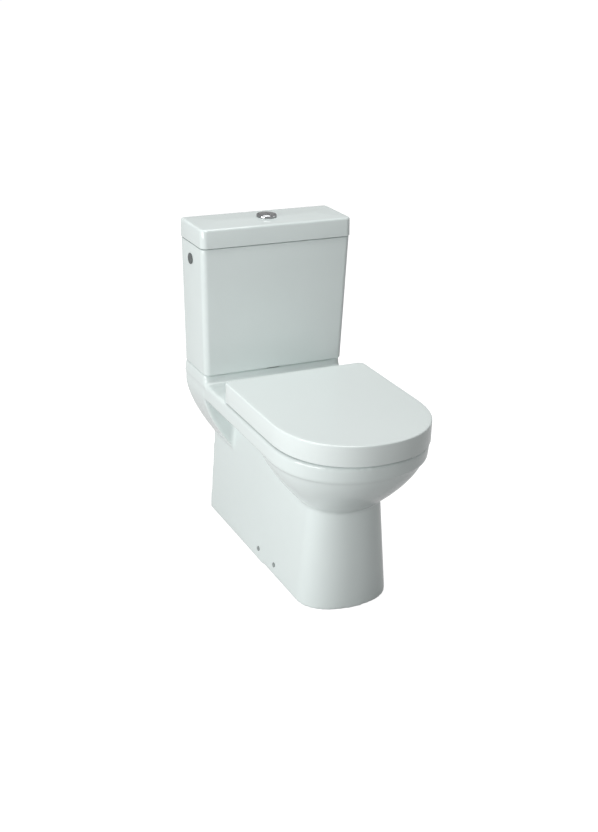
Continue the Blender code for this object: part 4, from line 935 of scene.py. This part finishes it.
def makeFloor(f):
    mesh = bmesh.new()
    bmesh.ops.create_grid(mesh, x_segments=1, y_segments=1, size=f["floorSize"])
    floor = pieceFrom(mesh, "floor")
    floor.location.z = f["floorLow"]
    paint = Paint("floorWhite")
    paint.set(Base_Color=(*f["floorColor"], 1), Roughness=f["floorRough"], Specular_IOR_Level=0.0)
    camera, glossy, through = paint.rays("Camera", "Glossy", "Transmission")
    seen = camera + f["mirrored"] * glossy + through
    paint.set(Emission_Color=(1, 1, 1, 1), Emission_Strength=f["lift"] * seen)
    floor.data.materials.append(paint.material)


def makeWorld(f):
    world = bpy.data.worlds.new("studio")
    bpy.context.scene.world = world
    world.use_nodes = True
    back = world.node_tree.nodes["Background"]
    back.inputs["Color"].default_value = (1, 1, 1, 1)
    sky = Paint(tree=world.node_tree)
    camera, glossy, through = sky.rays("Camera", "Glossy", "Transmission")
    lit = f["world"] + (1 - f["world"]) * (camera + through) + (f["mirrored"] - f["world"]) * glossy
    sky.feed(back.inputs["Strength"], lit)


lamps = {
    "leftSoft": dict(at=(-2.85, -0.9, 0.85), aim=(0, 0, 0.4), size=(2.2, 1.2), power=73),
    "topSoft": dict(at=(0, 0.1, 3.0), aim=(0, 0, 0.4), size=(1.8, 1.4), power=40),
    "rightSoft": dict(at=(2.8, -0.9, 1.6), aim=(0, 0, 0.4), size=(1.2, 1.2), power=5),
}


def makeLamp(name, f):
    light = bpy.data.lights.new(name, "AREA")
    light.shape, (light.size, light.size_y), light.energy = "RECTANGLE", f["size"], f["power"]
    lamp = bpy.data.objects.new(name, light)
    bpy.context.scene.collection.objects.link(lamp)
    lamp.location = f["at"]
    lamp.rotation_euler = (Vector(f["aim"]) - Vector(f["at"])).to_track_quat("-Z", "Y").to_euler()


cameraView = dict(azimuth=-26.31, elevation=22.81, roll=1.72, aim=(-0.0368, -0.0035, 0.3807), distance=2.808,
                  focal=1229.3, width=598, sensor=36)


def makeCamera(f):
    a, e, r = radians(f["azimuth"]), radians(f["elevation"]), radians(f["roll"])
    back = Vector((sin(a) * cos(e), -cos(a) * cos(e), sin(e)))
    right = (-back).cross(Vector((0, 0, 1))).normalized()
    up = right.cross(-back)
    pose = Matrix((right * cos(r) + up * sin(r), up * cos(r) - right * sin(r), back)).transposed().to_4x4()
    pose.translation = Vector(f["aim"]) + back * f["distance"]
    data = bpy.data.cameras.new("photoView")
    data.sensor_fit, data.sensor_width = "HORIZONTAL", f["sensor"]
    data.lens = f["focal"] / f["width"] * f["sensor"]
    camera = bpy.data.objects.new("photoView", data)
    bpy.context.scene.collection.objects.link(camera)
    camera.matrix_world = pose
    bpy.context.scene.camera = camera


makeFloor(stageLook)
makeWorld(stageLook)
for name, settings in lamps.items():
    makeLamp(name, settings)
makeCamera(cameraView)
bpy.context.scene.view_settings.view_transform = "Standard"
print("floor, lamps and camera set")
